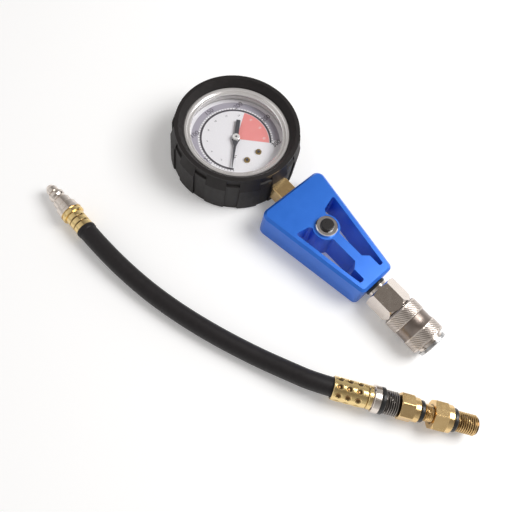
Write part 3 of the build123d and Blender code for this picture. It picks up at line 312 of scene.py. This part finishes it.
# %% Axes
coupler_axis = (0.0, 0.0, 11.5)
towards_mouth = (0.0, -1.0, 0.0)
plug_origin = (-109.8, 3.5, 7.0)
towards_plug = (0.0, 1.0, 0.0)
fitting_origin = (-50.8, -173.4, 9.25)
fitting_deg = -56.0
outwards = (cos(radians(fitting_deg)), sin(radians(fitting_deg)), 0.0)
print("fitting points along", [round(v, 3) for v in outwards])

# %% [markdown]
# Nickel plate is a warm, bright mirror with a slight haze, and the sleeve's fine lines are
# darkened towards their roots, a painted shade in the grooves. The bezel's ring is brushed and
# lighter, the case behind it is given a pale, nearly matt colour, a painted reflection of the white
# dial in its inner wall, and the needle's cap and the valve's ring are polished.

# %% Nickel and steel
nickel_tones = (0.78, 0.71, 0.65), (0.70, 0.63, 0.57)
# Painted shade: the sleeve's knurl lines darken to grey towards their roots.
grey_groove_shade = (0.30, 0.25, 0.22)
knurl_shade = (coupler_axis, towards_mouth, 11.12, 11.36, grey_groove_shade)
plated = {"metal": 1.0, "patch_mm": 4, "grain_mm": 0.5}
ring_steel = {"patch_mm": 5, "grain_mm": 0.6}

nickel = finish("nickel_plate", *nickel_tones, rough=0.24, bump=0.04, **plated)
knurled = finish(
    "knurled_nickel", *nickel_tones, rough=0.34, bump=0.02, groove=knurl_shade, **plated
)
steel_tones = (0.93, 0.91, 0.90), (0.88, 0.86, 0.85)
steel = finish("brushed_bezel", *steel_tones, rough=0.2, metal=0.7, bump=0.005, **ring_steel)
# Painted reflection: the case wall is pale and nearly matt, standing in for the white dial mirrored
# in it.
pale_case_tones = (0.86, 0.84, 0.83), (0.80, 0.78, 0.77)
case_reflection_paint = finish("case_painted_reflection", *pale_case_tones, rough=0.4, metal=0.1, bump=0.01, **ring_steel)
chrome_tones = (0.88, 0.86, 0.86), (0.82, 0.80, 0.80)
chrome = finish("chrome", *chrome_tones, rough=0.12, metal=1.0, bump=0.02, **ring_steel)
cap_tones = (0.97, 0.95, 0.93), (0.9, 0.88, 0.87)
cap_steel = finish(
    "polished_cap", *cap_tones, rough=0.2, metal=0.3, patch_mm=1, grain_mm=0.3, bump=0.02
)
wear_on(["coupler_body", "hose_plug", "end_collar", "coupler_valve"], nickel)
wear_on(["bezel_ring", "stop_pin", "hairspring"], steel)
wear_on(["gauge_case"], case_reflection_paint)
wear_on(["valve_ring"], chrome)
wear_on(["needle_cap"], cap_steel)

# %% [markdown]
# The stem and the adapters are turned brass, and the second adapter's thread darkens towards its
# roots, a painted shade. The ferrules are thin brass that was stamped, so they are glossier, and
# their dimples are painted brown, a painted shade in the hollows. The gauge's movement is dull
# brass, and the dial's screws are older still.

# %% Brass
brass_tones = (0.83, 0.60, 0.30), (0.72, 0.49, 0.22)
stamped_tones = (0.88, 0.68, 0.34), (0.78, 0.57, 0.25)
# Painted shade: brown darkening deep in the ferrules' dimples and in the second adapter's thread.
brown_groove_shade = (0.16, 0.09, 0.035)
second_thread_shade = (fitting_origin, outwards, 5.3, 5.95, brown_groove_shade)
plug_dimple_shade = (plug_origin, towards_plug, 5.25, 5.65, brown_groove_shade)
end_dimple_shade = (fitting_origin, outwards, 6.2, 6.8, brown_groove_shade)
cut_brass = {"rough": 0.24, "metal": 1.0, "patch_mm": 3, "grain_mm": 0.5, "bump": 0.03}
thin_brass = {"rough": 0.22, "metal": 1.0, "patch_mm": 3, "grain_mm": 0.4, "bump": 0.03}

brass = finish("turned_brass", *brass_tones, **cut_brass)
threaded_brass = finish("threaded_brass", *brass_tones, groove=second_thread_shade, **cut_brass)
stamped_brass = finish("stamped_brass", *stamped_tones, groove=plug_dimple_shade, **thin_brass)
dimpled_brass = finish("dimpled_brass", *stamped_tones, groove=end_dimple_shade, **thin_brass)
dull_tones = (0.62, 0.46, 0.2), (0.5, 0.36, 0.15)
dull_brass = finish(
    "dull_brass", *dull_tones, rough=0.38, metal=1.0, patch_mm=2, grain_mm=0.3, bump=0.12
)
screw_tones = (0.50, 0.37, 0.18), (0.38, 0.27, 0.12)
dark_screw = finish("screw_brass", *screw_tones, rough=0.35, metal=1.0, patch_mm=1, grain_mm=0.2)
movement = [
    "bourdon_tube",
    "tube_tip",
    "link",
    "movement_back_plate",
    "movement_front_plate",
    "movement_pillars",
    "movement_screws",
    "base_screws",
    "sector_gear",
    "pinion_shaft",
    "dial_posts",
]
wear_on(["gauge_stem", "valve_stem", "valve_seat"], brass)
wear_on(["plug_ferrule"], stamped_brass)
wear_on(["end_ferrule"], dimpled_brass)
wear_on(movement, dull_brass)
wear_on(["dial_screws"], dark_screw)

# %% [markdown]
# The fitting on the hose's end is steel with a black oxide, darker and duller than the plated
# parts, and its thread is painted nearly black towards the roots, a painted shade. The springs,
# the balls and the ring in the coupler's nose are plain steel.

# %% Dark steel and springs
oxide_tones = (0.42, 0.39, 0.36), (0.33, 0.30, 0.28)
# Painted shade: the fitting's thread darkens to nearly black towards its roots.
black_groove_shade = (0.035, 0.03, 0.028)
fitting_thread_shade = (fitting_origin, outwards, 6.3, 6.95, black_groove_shade)
dark_steel = finish(
    "dark_steel",
    *oxide_tones,
    rough=0.3,
    metal=1.0,
    patch_mm=2,
    grain_mm=0.4,
    bump=0.05,
    groove=fitting_thread_shade,
)
spring_tones = (0.6, 0.6, 0.6), (0.5, 0.5, 0.5)
spring_steel = finish("plain_spring", *spring_tones, rough=0.3, metal=1.0, patch_mm=2, grain_mm=0.3)
coupler_steel = ["retaining_ring", "locking_balls", "sleeve_spring", "coupler_spring"]
wear_on([*coupler_steel, "valve_spring"], spring_steel)

# %% [markdown]
# The blue handle is bead-blasted and dyed aluminium: the dye tints the metal's own reflection, and
# the blasting spreads it, so it glows softly rather than mirroring.

# %% Blue handle
blue_tones = (0.022, 0.165, 0.72), (0.032, 0.200, 0.80)
anodised = finish(
    "blue_anodised",
    *blue_tones,
    rough=0.34,
    metal=0.35,
    patch_mm=9,
    grain_mm=0.25,
    bump=0.12,
    Coat_Weight=0.12,
    Coat_Roughness=0.2,
)
wear_on(["handle_body"], anodised)

# %% [markdown]
# The boot, seals and button are black. Moulded rubber is matt with a faint bloom on its edges, so
# the boot's second colour is a dusty grey, and the rings are smoother. The gasket under the lens
# is pale grey.

# %% Rubbers and plastics
boot_tones = (0.0085, 0.0068, 0.0066), (0.020, 0.0165, 0.0160)
boot_rubber = finish(
    "moulded_rubber",
    *boot_tones,
    rough=0.55,
    patch_mm=5,
    grain_mm=0.35,
    bump=0.25,
    bump_mm=0.03,
    Specular_IOR_Level=0.32,
)
seal_tones = (0.012, 0.012, 0.012), (0.02, 0.02, 0.02)
seal_rubber = finish("smooth_rubber", *seal_tones, rough=0.32, patch_mm=2, grain_mm=0.3)
button_tones = (0.010, 0.009, 0.009), (0.018, 0.016, 0.016)
button_black = finish(
    "black_button", *button_tones, rough=0.3, patch_mm=2, grain_mm=0.3, bump=0.04
)
gasket_tones = (0.62, 0.60, 0.58), (0.70, 0.68, 0.66)
gasket_grey = finish("grey_gasket", *gasket_tones, rough=0.45, patch_mm=3, grain_mm=0.3)
coupler_seals = ["coupler_seal", "coupler_valve_seal"]
screwed_seals = ["end_seal", "first_seal", "second_seal"]
wear_on(["rubber_boot"], boot_rubber)
wear_on(["neck_seal", "valve_seal", *coupler_seals, *screwed_seals], seal_rubber)
wear_on(["release_button"], button_black)
wear_on(["lens_gasket"], gasket_grey)

# %% [markdown]
# The dial is sheet metal under matt white paint, faintly cool, and the needle is painted black
# but catches a little light, so it reads as dark grey.

# %% Dial paint and needle
dial_tones = (0.93, 0.90, 0.94), (0.95, 0.93, 0.96)
dial_paint = finish("dial_white", *dial_tones, rough=0.5, patch_mm=12, grain_mm=0.5, bump=0.02)
needle_tones = (0.07, 0.07, 0.08), (0.1, 0.1, 0.11)
needle_paint = finish("needle_black", *needle_tones, rough=0.35, patch_mm=3, grain_mm=0.3)
wear_on(["dial_plate"], dial_paint)
wear_on(["needle"], needle_paint)

# %% [markdown]
# The lens is clear. A ray tracer bends and darkens light through a real slab, and shadows under
# it come out noisy, so the glass lets most light straight through and keeps only a faint mirror
# that grows at grazing angles, which is what the eye notices on a gauge. Only the faces turned to
# the ray mirror it: a ray that isn't bent would meet the far face as a full mirror.

# %% Lens
lens_tint = (0.985, 0.99, 0.99, 1)
clear = bpy.data.materials.new("lens_glass")
tree, add = new_tree(clear)
through = add("ShaderNodeBsdfTransparent", Color=lens_tint)
mirror = add("ShaderNodeBsdfGlossy", Roughness=0.03)
edge = add("ShaderNodeFresnel", IOR=1.3)
side = add("ShaderNodeNewGeometry")
front = add("ShaderNodeMath", operation="SUBTRACT")
front.inputs[0].default_value = 1.0
front_edge = add("ShaderNodeMath", operation="MULTIPLY")
blend = add("ShaderNodeMixShader")
output = add("ShaderNodeOutputMaterial")
tree.links.new(side.outputs["Backfacing"], front.inputs[1])
tree.links.new(front.outputs[0], front_edge.inputs[0])
tree.links.new(edge.outputs[0], front_edge.inputs[1])
tree.links.new(front_edge.outputs[0], blend.inputs[0])
tree.links.new(through.outputs[0], blend.inputs[1])
tree.links.new(mirror.outputs[0], blend.inputs[2])
tree.links.new(blend.outputs[0], output.inputs[0])
wear_on(["lens"], clear)

# %% [markdown]
# Turned parts come next: the sleeve with its knurled bands, the screw threads and the hexagons. A
# lathe makes each from one profile, and so do these helpers. Along the profile, the radius may be
# held back by a second rule that depends on the turn as well: a hexagon's flats, a thread's
# groove or a knurl's lines. Everything is one grid of points, rows along the profile, columns
# round the axis, and the grid closes on itself both ways, so no seam or hole is left.


# %% Grid to skin
same_place_mm = 0.001
soft_edge_deg = 32


def dress(name, mesh, material, body, sharp_deg=soft_edge_deg):
    """Turn a mesh's faces outwards, give it its finish, and let it ride on its body."""
    work = bmesh.new()
    work.from_mesh(mesh)
    bmesh.ops.remove_doubles(work, verts=work.verts, dist=same_place_mm * MM)
    if work.calc_volume(signed=True) < 0:
        bmesh.ops.reverse_faces(work, faces=work.faces)
    work.to_mesh(mesh)
    work.free()
    mesh.materials.clear()
    mesh.materials.append(material)
    mesh.shade_smooth()
    mesh.set_sharp_from_angle(angle=radians(sharp_deg))
    piece = bpy.data.objects.new(name, mesh)
    scene.collection.objects.link(piece)
    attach(piece, body)
    print(name, "faces", len(mesh.polygons))
    return piece


def shell(name, grid, material, body, sharp_deg=soft_edge_deg):
    """A skin through a grid of points that closes on itself along its rows and its columns.

    Each point is joined to its three neighbours as one quad, and the skin is turned over where
    its signed volume comes out negative."""
    rows, columns = grid.shape[:2]
    index = np.arange(rows * columns).reshape(rows, columns)
    index = np.pad(index, ((0, 1), (0, 1)), mode="wrap")
    quads = np.stack([index[:-1, :-1], index[:-1, 1:], index[1:, 1:], index[1:, :-1]], axis=-1)
    mesh = bpy.data.meshes.new(name)
    mesh.from_pydata(grid.reshape(-1, 3).tolist(), [], quads.reshape(-1, 4).tolist())
    return dress(name, mesh, material, body, sharp_deg)


# %% Profile to grid
def rows_of(stretches):
    """Join stretches of a profile into two arrays, the place along the axis and the radius.

    A stretch is its first and last (along, radius) and how many rows it is cut into."""
    parts = [np.linspace(first, last, count) for first, last, count in stretches]
    joined = np.vstack(parts)
    return joined[:, 0], joined[:, 1]


def turns(columns):
    """The turn of each column, in equal steps round the circle."""
    return np.arange(columns) / columns * 2 * pi


def turned(origin, heading, along, radius):
    """Points round an axis: origin + heading * along + (up cos t + side sin t) * radius.

    radius is a grid, one row for each place along the axis and one column for each turn t."""
    heading = np.array(heading, float)
    up = np.array([0.0, 0.0, 1.0])
    side = np.cross(heading, up)
    t = turns(radius.shape[1])
    spoke = np.cos(t)[:, None] * up + np.sin(t)[:, None] * side
    line = np.array(origin, float) + along[:, None] * heading
    return (line[:, None, :] + radius[:, :, None] * spoke) * MM


# %% [markdown]
# The coupler's sleeve is the piece that fingers pull, so both of its bands carry fine slanted
# lines. Each line is a shallow valley: the radius drops by half a cosine of the turn times the
# number of lines, plus a shift that grows along the axis, which slants them. The lines fade out
# at the ends of a band.

# %% Sleeve profile
sleeve_start = 149.3
sleeve_end = 173.8
sleeve_radius = 11.4
waist_radius = 10.8
sleeve_bore = 9.0
ball_room = 9.65
spring_room = 10.6
spring_stop = 156.3
ball_room_start = 169.9
ball_room_end = 173.2
band_rows = 40

sleeve_profile = [
    ((sleeve_start, spring_room), (sleeve_start, waist_radius), 2),
    ((149.9, sleeve_radius), (157.6, sleeve_radius), band_rows),
    ((158.1, waist_radius), (164.6, waist_radius), 3),
    ((165.8, sleeve_radius), (173.3, sleeve_radius), band_rows),
    ((sleeve_end, 10.9), (sleeve_end, sleeve_bore), 2),
    ((ball_room_end, sleeve_bore), (ball_room_end, ball_room), 2),
    ((ball_room_start, ball_room), (ball_room_start, sleeve_bore), 2),
    ((spring_stop, sleeve_bore), (spring_stop, spring_room), 2),
]
along, base = rows_of(sleeve_profile)
print("sleeve rows", len(along), "length", round(sleeve_end - sleeve_start, 1), "mm")

# %% Knurled sleeve
bands = [(150.3, 157.3), (166.1, 172.8)]
knurl_lines = 30
columns_per_line = 12
knurl_depth = 0.28
knurl_slant = 0.72
fade_length = 0.4
skin_depth = 0.01

t = turns(knurl_lines * columns_per_line)
valley = 0.5 - 0.5 * np.cos(knurl_lines * t[None, :] + 2 * pi * knurl_slant * along[:, None])
outside = base > sleeve_radius - skin_depth
fade = np.zeros(len(along))
for first, last in bands:
    rise = np.clip((along - first) / fade_length, 0, 1)
    fall = np.clip((last - along) / fade_length, 0, 1)
    fade += rise * fall
radius = base[:, None] - knurl_depth * valley * (fade * outside)[:, None]
sleeve = shell(
    "knurled_sleeve",
    turned(coupler_axis, towards_mouth, along, radius),
    knurled,
    "sleeve",
)
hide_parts("coupler_sleeve")

# %% [markdown]
# A screw thread is a groove that climbs as it goes round. On a grid that is a triangle wave: the
# depth at a point depends on its place along the axis divided by the pitch, less its share of a
# turn, and only on what is left after the whole numbers, so the thread meets itself after each
# turn.


# %% Thread
def threaded(along, base, start, end, pitch, depth):
    """Cut a thread into a turned radius between two places along the axis.

    The depth is a triangle wave of (along / pitch - turn / circle), faded over half a pitch."""
    phase = along[:, None] / pitch - turns(base.shape[1])[None, :] / (2 * pi)
    wave = 1 - np.abs(2 * (phase % 1) - 1)
    run_in = np.clip((along - start) / (pitch / 2), 0, 1)
    run_out = np.clip((end - along) / (pitch / 2), 0, 1)
    return base - depth * wave * (run_in * run_out)[:, None]


rows_per_pitch = 8


def thread_rows(start, end, radius, pitch):
    """A threaded stretch, cut finely enough to show each groove."""
    return ((start, radius), (end, radius), int((end - start) / pitch * rows_per_pitch))


# %% [markdown]
# A hexagon is just as short: a flat's distance from the axis, divided by the cosine of the angle
# from the flat's middle. A cone over it cuts the corners, as a chamfering tool does.


# %% Hexagon
def hexed(along, base, start, end, flats, turn_deg):
    """Hold a turned radius back to a hexagon's flats between two places along the axis.

    The hexagon's radius is half the flats over the cosine of the angle from a flat's middle."""
    sixth = pi / 3
    off_flat = (turns(base.shape[1]) - radians(turn_deg) + sixth / 2) % sixth - sixth / 2
    flat = flats / 2 / np.cos(off_flat)
    inside = (along >= start) & (along <= end)
    return np.where(inside[:, None], np.minimum(base, flat[None, :]), base)


chamfer_deg = 30
cone_rows = 6
hair_mm = 0.01


def hexagon_rows(start, end, flats):
    """A hexagon's stretches of profile: two cones and the run of full corners between them."""
    corner = flats / 2 / cos(pi / 6)
    drop = (corner - flats / 2) * tan(radians(chamfer_deg))
    return [
        ((start, flats / 2), (start + drop, corner), cone_rows),
        ((start + drop + hair_mm, corner), (end - drop - hair_mm, corner), 2),
        ((end - drop, corner), (end, flats / 2), cone_rows),
    ]


# %% [markdown]
# The fitting, the adapters and two small rings are all made alike, so one helper takes a profile,
# spreads it over the columns, and cuts the hexagon and the thread where a piece has them.


# %% Lathe
round_columns = 96


def lathe(name, profile, axis, material, hexagon=None, thread=None, sharp_deg=soft_edge_deg):
    """One turned piece of the tester: a profile carried round an axis, (origin, heading).

    hexagon holds what hexed needs after the radius. thread holds the radius that it is cut
    into, and then what threaded needs: the cut shows only in rows of just that radius."""
    along, base = rows_of(profile)
    radius = np.repeat(base[:, None], round_columns, axis=1)
    if hexagon:
        radius = hexed(along, radius, *hexagon)
    if thread:
        thread_radius, *cut = thread
        on_thread = base == thread_radius
        radius = np.where(on_thread[:, None], threaded(along, radius, *cut), radius)
    return shell(name, turned(*axis, along, radius), material, "tester", sharp_deg)


# %% [markdown]
# The steel fitting closes the hose's end. Its barbed stem goes into the rubber, and its own
# thread fits the widest spark plug hole. For narrower ones an adapter screws into its socket. The
# gas runs through a narrow bore that all three pieces share.

# %% Threaded fitting
fitting_axis = (fitting_origin, outwards)
gas_bore = 1.4
barb_root = 2.4
barb_radius = 2.9
socket_radius = 3.58
spark_pitch = 1.25
thread_depth = 0.75
fitting_thread_radius = 7.0
fitting_thread_start = 7.8

fitting_profile = [
    ((-20.5, gas_bore), (-20.5, barb_root), 2),
    ((-13.9, barb_radius), (-13.9, barb_root), 2),
    ((-7.3, barb_radius), (-7.3, barb_root), 2),
    ((-0.7, barb_radius), (5.2, barb_radius), 2),
    ((5.2, 6.1), (fitting_thread_start, 6.1), 2),
    thread_rows(fitting_thread_start, 15.5, fitting_thread_radius, spark_pitch),
    ((16.7, 5.8), (16.7, socket_radius), 2),
    ((10.5, socket_radius), (10.5, gas_bore), 2),
]
fitting = lathe(
    "threaded_fitting",
    fitting_profile,
    fitting_axis,
    dark_steel,
    thread=(fitting_thread_radius, fitting_thread_start, 16.2, spark_pitch, thread_depth),
)
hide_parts("end_fitting")

# %% [markdown]
# Each brass adapter is a hexagon with a collar, a narrow neck where its rubber ring sits, and a
# thread that is smaller than the fitting's. The first one's thread is the smallest and the
# finest, and it goes into the second one's socket.

# %% First adapter
first_hexagon = (16.7, 25.0, 14.0)
first_hexagon_deg = -32.0
first_neck = 5.0
first_thread_radius = 4.99
first_thread = (31.0, 39.2)
first_pitch = 1.0
first_thread_depth = 0.55

first_profile = [
    ((10.6, gas_bore), (10.6, 3.5), 2),
    ((16.7, 3.5), (16.7, 6.9), 2),
    *hexagon_rows(*first_hexagon),
    ((25.01, 7.0), (27.8, 7.0), 2),
    ((28.2, 6.6), (28.2, first_neck), 2),
    ((30.9, first_neck), (31.0, first_neck), 2),
    thread_rows(*first_thread, first_thread_radius, first_pitch),
    ((39.5, 4.6), (39.5, gas_bore), 2),
]
first_adapter = lathe(
    "first_brass_adapter",
    first_profile,
    fitting_axis,
    brass,
    hexagon=(*first_hexagon, first_hexagon_deg),
    thread=(first_thread_radius, *first_thread, first_pitch, first_thread_depth),
)
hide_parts("first_adapter")

# %% Second adapter
second_hexagon = (35.9, 44.0, 16.2)
second_hexagon_deg = -19.0
second_socket = 5.08
second_neck = 5.2
second_thread_radius = 6.0
second_thread_end = 61.1

second_profile = [
    ((35.9, second_socket), (35.9, 8.0), 2),
    *hexagon_rows(*second_hexagon),
    ((44.01, 8.0), (46.9, 8.0), 2),
    ((47.3, 7.6), (47.3, second_neck), 2),
    ((50.3, second_neck), (50.3, 5.9), 2),
    thread_rows(50.4, second_thread_end, second_thread_radius, spark_pitch),
    ((61.2, second_neck), (62.2, second_neck), 2),
    ((62.6, 4.8), (62.6, gas_bore), 2),
    ((39.6, gas_bore), (39.6, second_socket), 2),
]
second_adapter = lathe(
    "second_brass_adapter",
    second_profile,
    fitting_axis,
    threaded_brass,
    hexagon=(*second_hexagon, second_hexagon_deg),
    thread=(second_thread_radius, 50.3, second_thread_end, spark_pitch, thread_depth),
)
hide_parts("second_adapter")

# %% [markdown]
# Where the plug's ferrule grips the hose, the rubber is squeezed out into a small lip in front
# of the brass. It is one more turned ring, round the hose's first millimetres. At the ferrule's
# other end the plug's own nickel flange closes it, and that is a turned ring too.

# %% Hose lip and plug flange
hose_tones = (0.0095, 0.008, 0.0085), (0.020, 0.017, 0.018)
hose_rubber = finish(
    "ribbed_hose",
    *hose_tones,
    rough=0.5,
    patch_mm=2.5,
    grain_mm=0.3,
    bump=0.35,
    bump_mm=0.04,
    Specular_IOR_Level=0.3,
)
plug_axis = (plug_origin, towards_plug)
lip_inner = 5.3
lip_profile = [
    ((5.6, lip_inner), (5.8, 5.66), 2),
    ((6.4, 5.95), (8.2, 6.05), 4),
    ((8.7, 5.9), (8.95, 5.6), 2),
    ((8.95, lip_inner), (8.9, lip_inner), 2),
]
hose_lip = lathe("hose_lip", lip_profile, plug_axis, hose_rubber, sharp_deg=60)

flange_inner = 6.45
flange_edge = 6.75
flange_radius = 6.98
flange_profile = [
    ((22.93, flange_inner), (22.93, flange_edge), 2),
    ((23.13, flange_radius), (24.5, flange_radius), 2),
    ((24.74, flange_edge), (24.74, flange_inner), 2),
]
plug_flange = lathe("plug_flange", flange_profile, plug_axis, nickel)

# %% [markdown]
# The dial is printed metal. Print has no thickness to speak of, but a thin slab is easier to
# light and to export than a picture, and it takes a finish of its own. Each shape is an outline
# of points at two heights: an arc is one row of points out along the outer edge and back along
# the inner one. The scale runs clockwise from lower left to lower right, over 270 degrees.

# %% Inks
ink_look = {"rough": 0.5, "grain_mm": 0.3, "bump": 0.02}
dark_ink_and_shade = finish("dark_ink_and_shade", (0.075, 0.065, 0.08), (0.1, 0.09, 0.105), patch_mm=4, **ink_look)
grey_ink = finish("grey_ink", (0.42, 0.39, 0.46), (0.50, 0.47, 0.54), patch_mm=6, **ink_look)
red_ink = finish("red_ink", (0.93, 0.30, 0.29), (0.97, 0.36, 0.35), patch_mm=6, **ink_look)
white_ink = finish("white_ink", (0.9, 0.9, 0.9), (0.94, 0.94, 0.94), patch_mm=4, **ink_look)
print("inks", [ink.name for ink in (dark_ink_and_shade, grey_ink, red_ink, white_ink)])


# %% Print helpers
dial_top = 17.2
ink_height = 0.05
arc_steps = 96


def arc_points(radius, first_deg, last_deg, count):
    """Points on a circle about the dial's axis, in equal steps from one heading to another."""
    heading = np.radians(np.linspace(first_deg, last_deg, count))
    return radius * np.stack([np.cos(heading), np.sin(heading)], axis=-1)


def band_outline(inner, outer, first_deg, last_deg, count=arc_steps):
    """An arc with a width: out along the outer circle and back along the inner one."""
    outer_edge = arc_points(outer, first_deg, last_deg, count)
    inner_edge = arc_points(inner, last_deg, first_deg, count)
    return np.vstack([outer_edge, inner_edge])


def print_on_dial(name, outlines, material, level=0.0, body="tester"):
    """One thin slab for each outline, joined into a piece that rides with the dial.

    A slab is the outline's points at two heights, a wall of quads between them, and the outline
    itself as the floor and the lid."""
    points = []
    faces = []
    first = 0
    low = dial_top + level
    for outline in outlines:
        count = len(outline)
        for height in (low, low + ink_height):
            points.append(np.column_stack([outline, np.full(count, height)]))
        floor_ring = first + np.arange(count)
        lid_ring = floor_ring + count
        wall = np.stack(
            [floor_ring, np.roll(floor_ring, -1), np.roll(lid_ring, -1), lid_ring], axis=-1
        )
        faces += wall.tolist()
        faces.append(floor_ring[::-1].tolist())
        faces.append(lid_ring.tolist())
        first += 2 * count
    mesh = bpy.data.meshes.new(name)
    mesh.from_pydata((np.vstack(points) * MM).tolist(), [], faces)
    return dress(name, mesh, material, body)


# %% Scale bands
scale_start_deg = 225.0
scale_sweep_deg = 270.0
scale_end_deg = scale_start_deg - scale_sweep_deg
scale_inner, scale_outer = 22.1, 23.4
band_inner, band_outer = 24.6, 28.9
band_start_deg, band_end_deg = 190, -40
red_radius = 21.8
red_first_deg = 33.0
red_steps = 60
red_tip = (0.4, 0.0)

scale_outline = band_outline(scale_inner, scale_outer, scale_start_deg, scale_end_deg)
print_on_dial("scale_arc", [scale_outline], dark_ink_and_shade)
number_outline = band_outline(band_inner, band_outer, band_start_deg, band_end_deg)
print_on_dial("number_band", [number_outline], grey_ink)
red_arc = arc_points(red_radius, red_first_deg, scale_end_deg, red_steps)
print_on_dial("red_zone", [np.vstack([red_arc, [red_tip]])], red_ink)

# %% Scale ticks
tick_inner, tick_outer = 23.3, 24.4
tick_half_deg = 0.35
small_tick_count = 60
shares = np.arange(small_tick_count + 1) / small_tick_count
ticks = [
    band_outline(tick_inner, tick_outer, heading + tick_half_deg, heading - tick_half_deg, 2)
    for heading in scale_start_deg - scale_sweep_deg * shares
]
print_on_dial("scale_ticks", ticks, dark_ink_and_shade)

# %% [markdown]
# The numbers are text, which Blender fills and thickens by itself. Each is made a mesh, moved to
# its place on the scale upright, and all of one size are joined into one piece.


# %% Number helper
text_over_digit = 1.4


def numbers_on_dial(name, labels, radius, height, material, level=0.0):
    """Upright numbers centred at their headings on a circle, joined into one piece."""
    joined = bmesh.new()
    for label, heading_deg in labels:
        text = bpy.data.curves.new("number", "FONT")
        text.body = label
        text.size = height * MM * text_over_digit
        text.align_x = "CENTER"
        text.align_y = "CENTER"
        text.extrude = ink_height / 2 * MM
        writer = bpy.data.objects.new("number", text)
        scene.collection.objects.link(writer)
        flat = bpy.data.meshes.new_from_object(writer)
        heading = radians(heading_deg)
        middle = dial_top + level + ink_height / 2
        centre = (radius * cos(heading), radius * sin(heading), middle)
        flat.transform(Matrix.Translation([v * MM for v in centre]))
        joined.from_mesh(flat)
        bpy.data.objects.remove(writer)
        bpy.data.curves.remove(text)
        bpy.data.meshes.remove(flat)
    mesh = bpy.data.meshes.new(name)
    joined.to_mesh(mesh)
    joined.free()
    return dress(name, mesh, material, "tester")


# %% Dial numbers
top_pressure = 300
pressure_step = 50
pressure_ring = 26.7
pressure_height = 3.2
pressure_numbers = [
    (str(value), scale_start_deg - scale_sweep_deg * value / top_pressure)
    for value in range(0, top_pressure + 1, pressure_step)
]
numbers_on_dial(
    "pressure_numbers", pressure_numbers, pressure_ring, pressure_height, dark_ink_and_shade, ink_height
)

top_small = 20
small_step = 2
small_step_deg = 26.1
small_ring = 18.6
red_from = 16
small_numbers = [
    (value, str(value), scale_start_deg - small_step_deg * value / small_step)
    for value in range(small_step, top_small + 1, small_step)
]
plain_small = [place for value, *place in small_numbers if value < red_from]
red_small = [place for value, *place in small_numbers if value >= red_from]
numbers_on_dial("small_numbers", plain_small, small_ring, 1.2, dark_ink_and_shade)
numbers_on_dial("small_numbers_on_red", red_small, small_ring, 1.4, white_ink, ink_height)

# %% [markdown]
# The needle turns on a thin shaft whose dark end shows in the middle of its bright cap, and the
# dial's two screws have sockets, whose shade is painted on as dark discs. These marks are thin
# slabs as well. The one on the needle rides with it.


# %% Shaft end and painted shade in the screw sockets
def top_of(node):
    """How far a node's top lies above the dial's face, in millimetres."""
    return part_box(node)[1][2] / MM - dial_top


def disc(centre, radius, count=24):
    """A round outline about a centre."""
    return np.array(centre) + arc_points(radius, 0, 360 * (1 - 1 / count), count)


hub_middle = (0.0, 0.0)
shaft_radius = 0.65
screw_places = [(-5.0, -16.5), (5.0, -16.5)]
socket_shade_radius = 0.95
print_on_dial(
    "shaft_end",
    [disc(hub_middle, shaft_radius)],
    dark_ink_and_shade,
    top_of("needle_cap"),
    "pointer",
)
# Painted shade: a dark disc on each screw head stands in for the shade inside its socket.
print_on_dial(
    "screw_socket_shade",
    [disc(place, socket_shade_radius) for place in screw_places],
    dark_ink_and_shade,
    top_of("dial_screws"),
)

# %% [markdown]
# The hose is one smooth curve. Its control points are the ones the construction model uses for the
# hose's route, so it leaves the plug's ferrule straight and enters the other ferrule straight. A
# round bevel gives the curve its thickness.

# %% Hose
hose_radius = 5.6
hose_route = [
    (-109.8, 12.5, 7.0),
    (-109.8, -8.0, 7.0),
    (-106.3, -38.5, 5.7),
    (-100.4, -64.9, 5.7),
    (-92.4, -90.1, 5.7),
    (-82.8, -114.3, 5.7),
    (-75.3, -131.3, 7.2),
    (-68.1, -147.7, 9.25),
    (-52.6, -170.7, 9.25),
]
quarter_rows = 12
span_rows = 24
line = bpy.data.curves.new("hose_line", "CURVE")
line.dimensions = "3D"
line.bevel_depth = hose_radius * MM
line.bevel_resolution = quarter_rows
line.use_fill_caps = True
spline = line.splines.new("NURBS")
spline.points.add(len(hose_route) - 1)
for point, place in zip(spline.points, hose_route):
    point.co = (*[v * MM for v in place], 1)
spline.order_u = 3
spline.use_endpoint_u = True
spline.resolution_u = span_rows
hose = bpy.data.objects.new("hose_line", line)
scene.collection.objects.link(hose)
line.materials.append(hose_rubber)
print("hose points", len(hose_route))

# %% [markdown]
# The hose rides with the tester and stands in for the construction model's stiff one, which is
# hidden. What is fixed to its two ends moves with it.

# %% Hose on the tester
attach(hose, "tester")
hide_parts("hose")
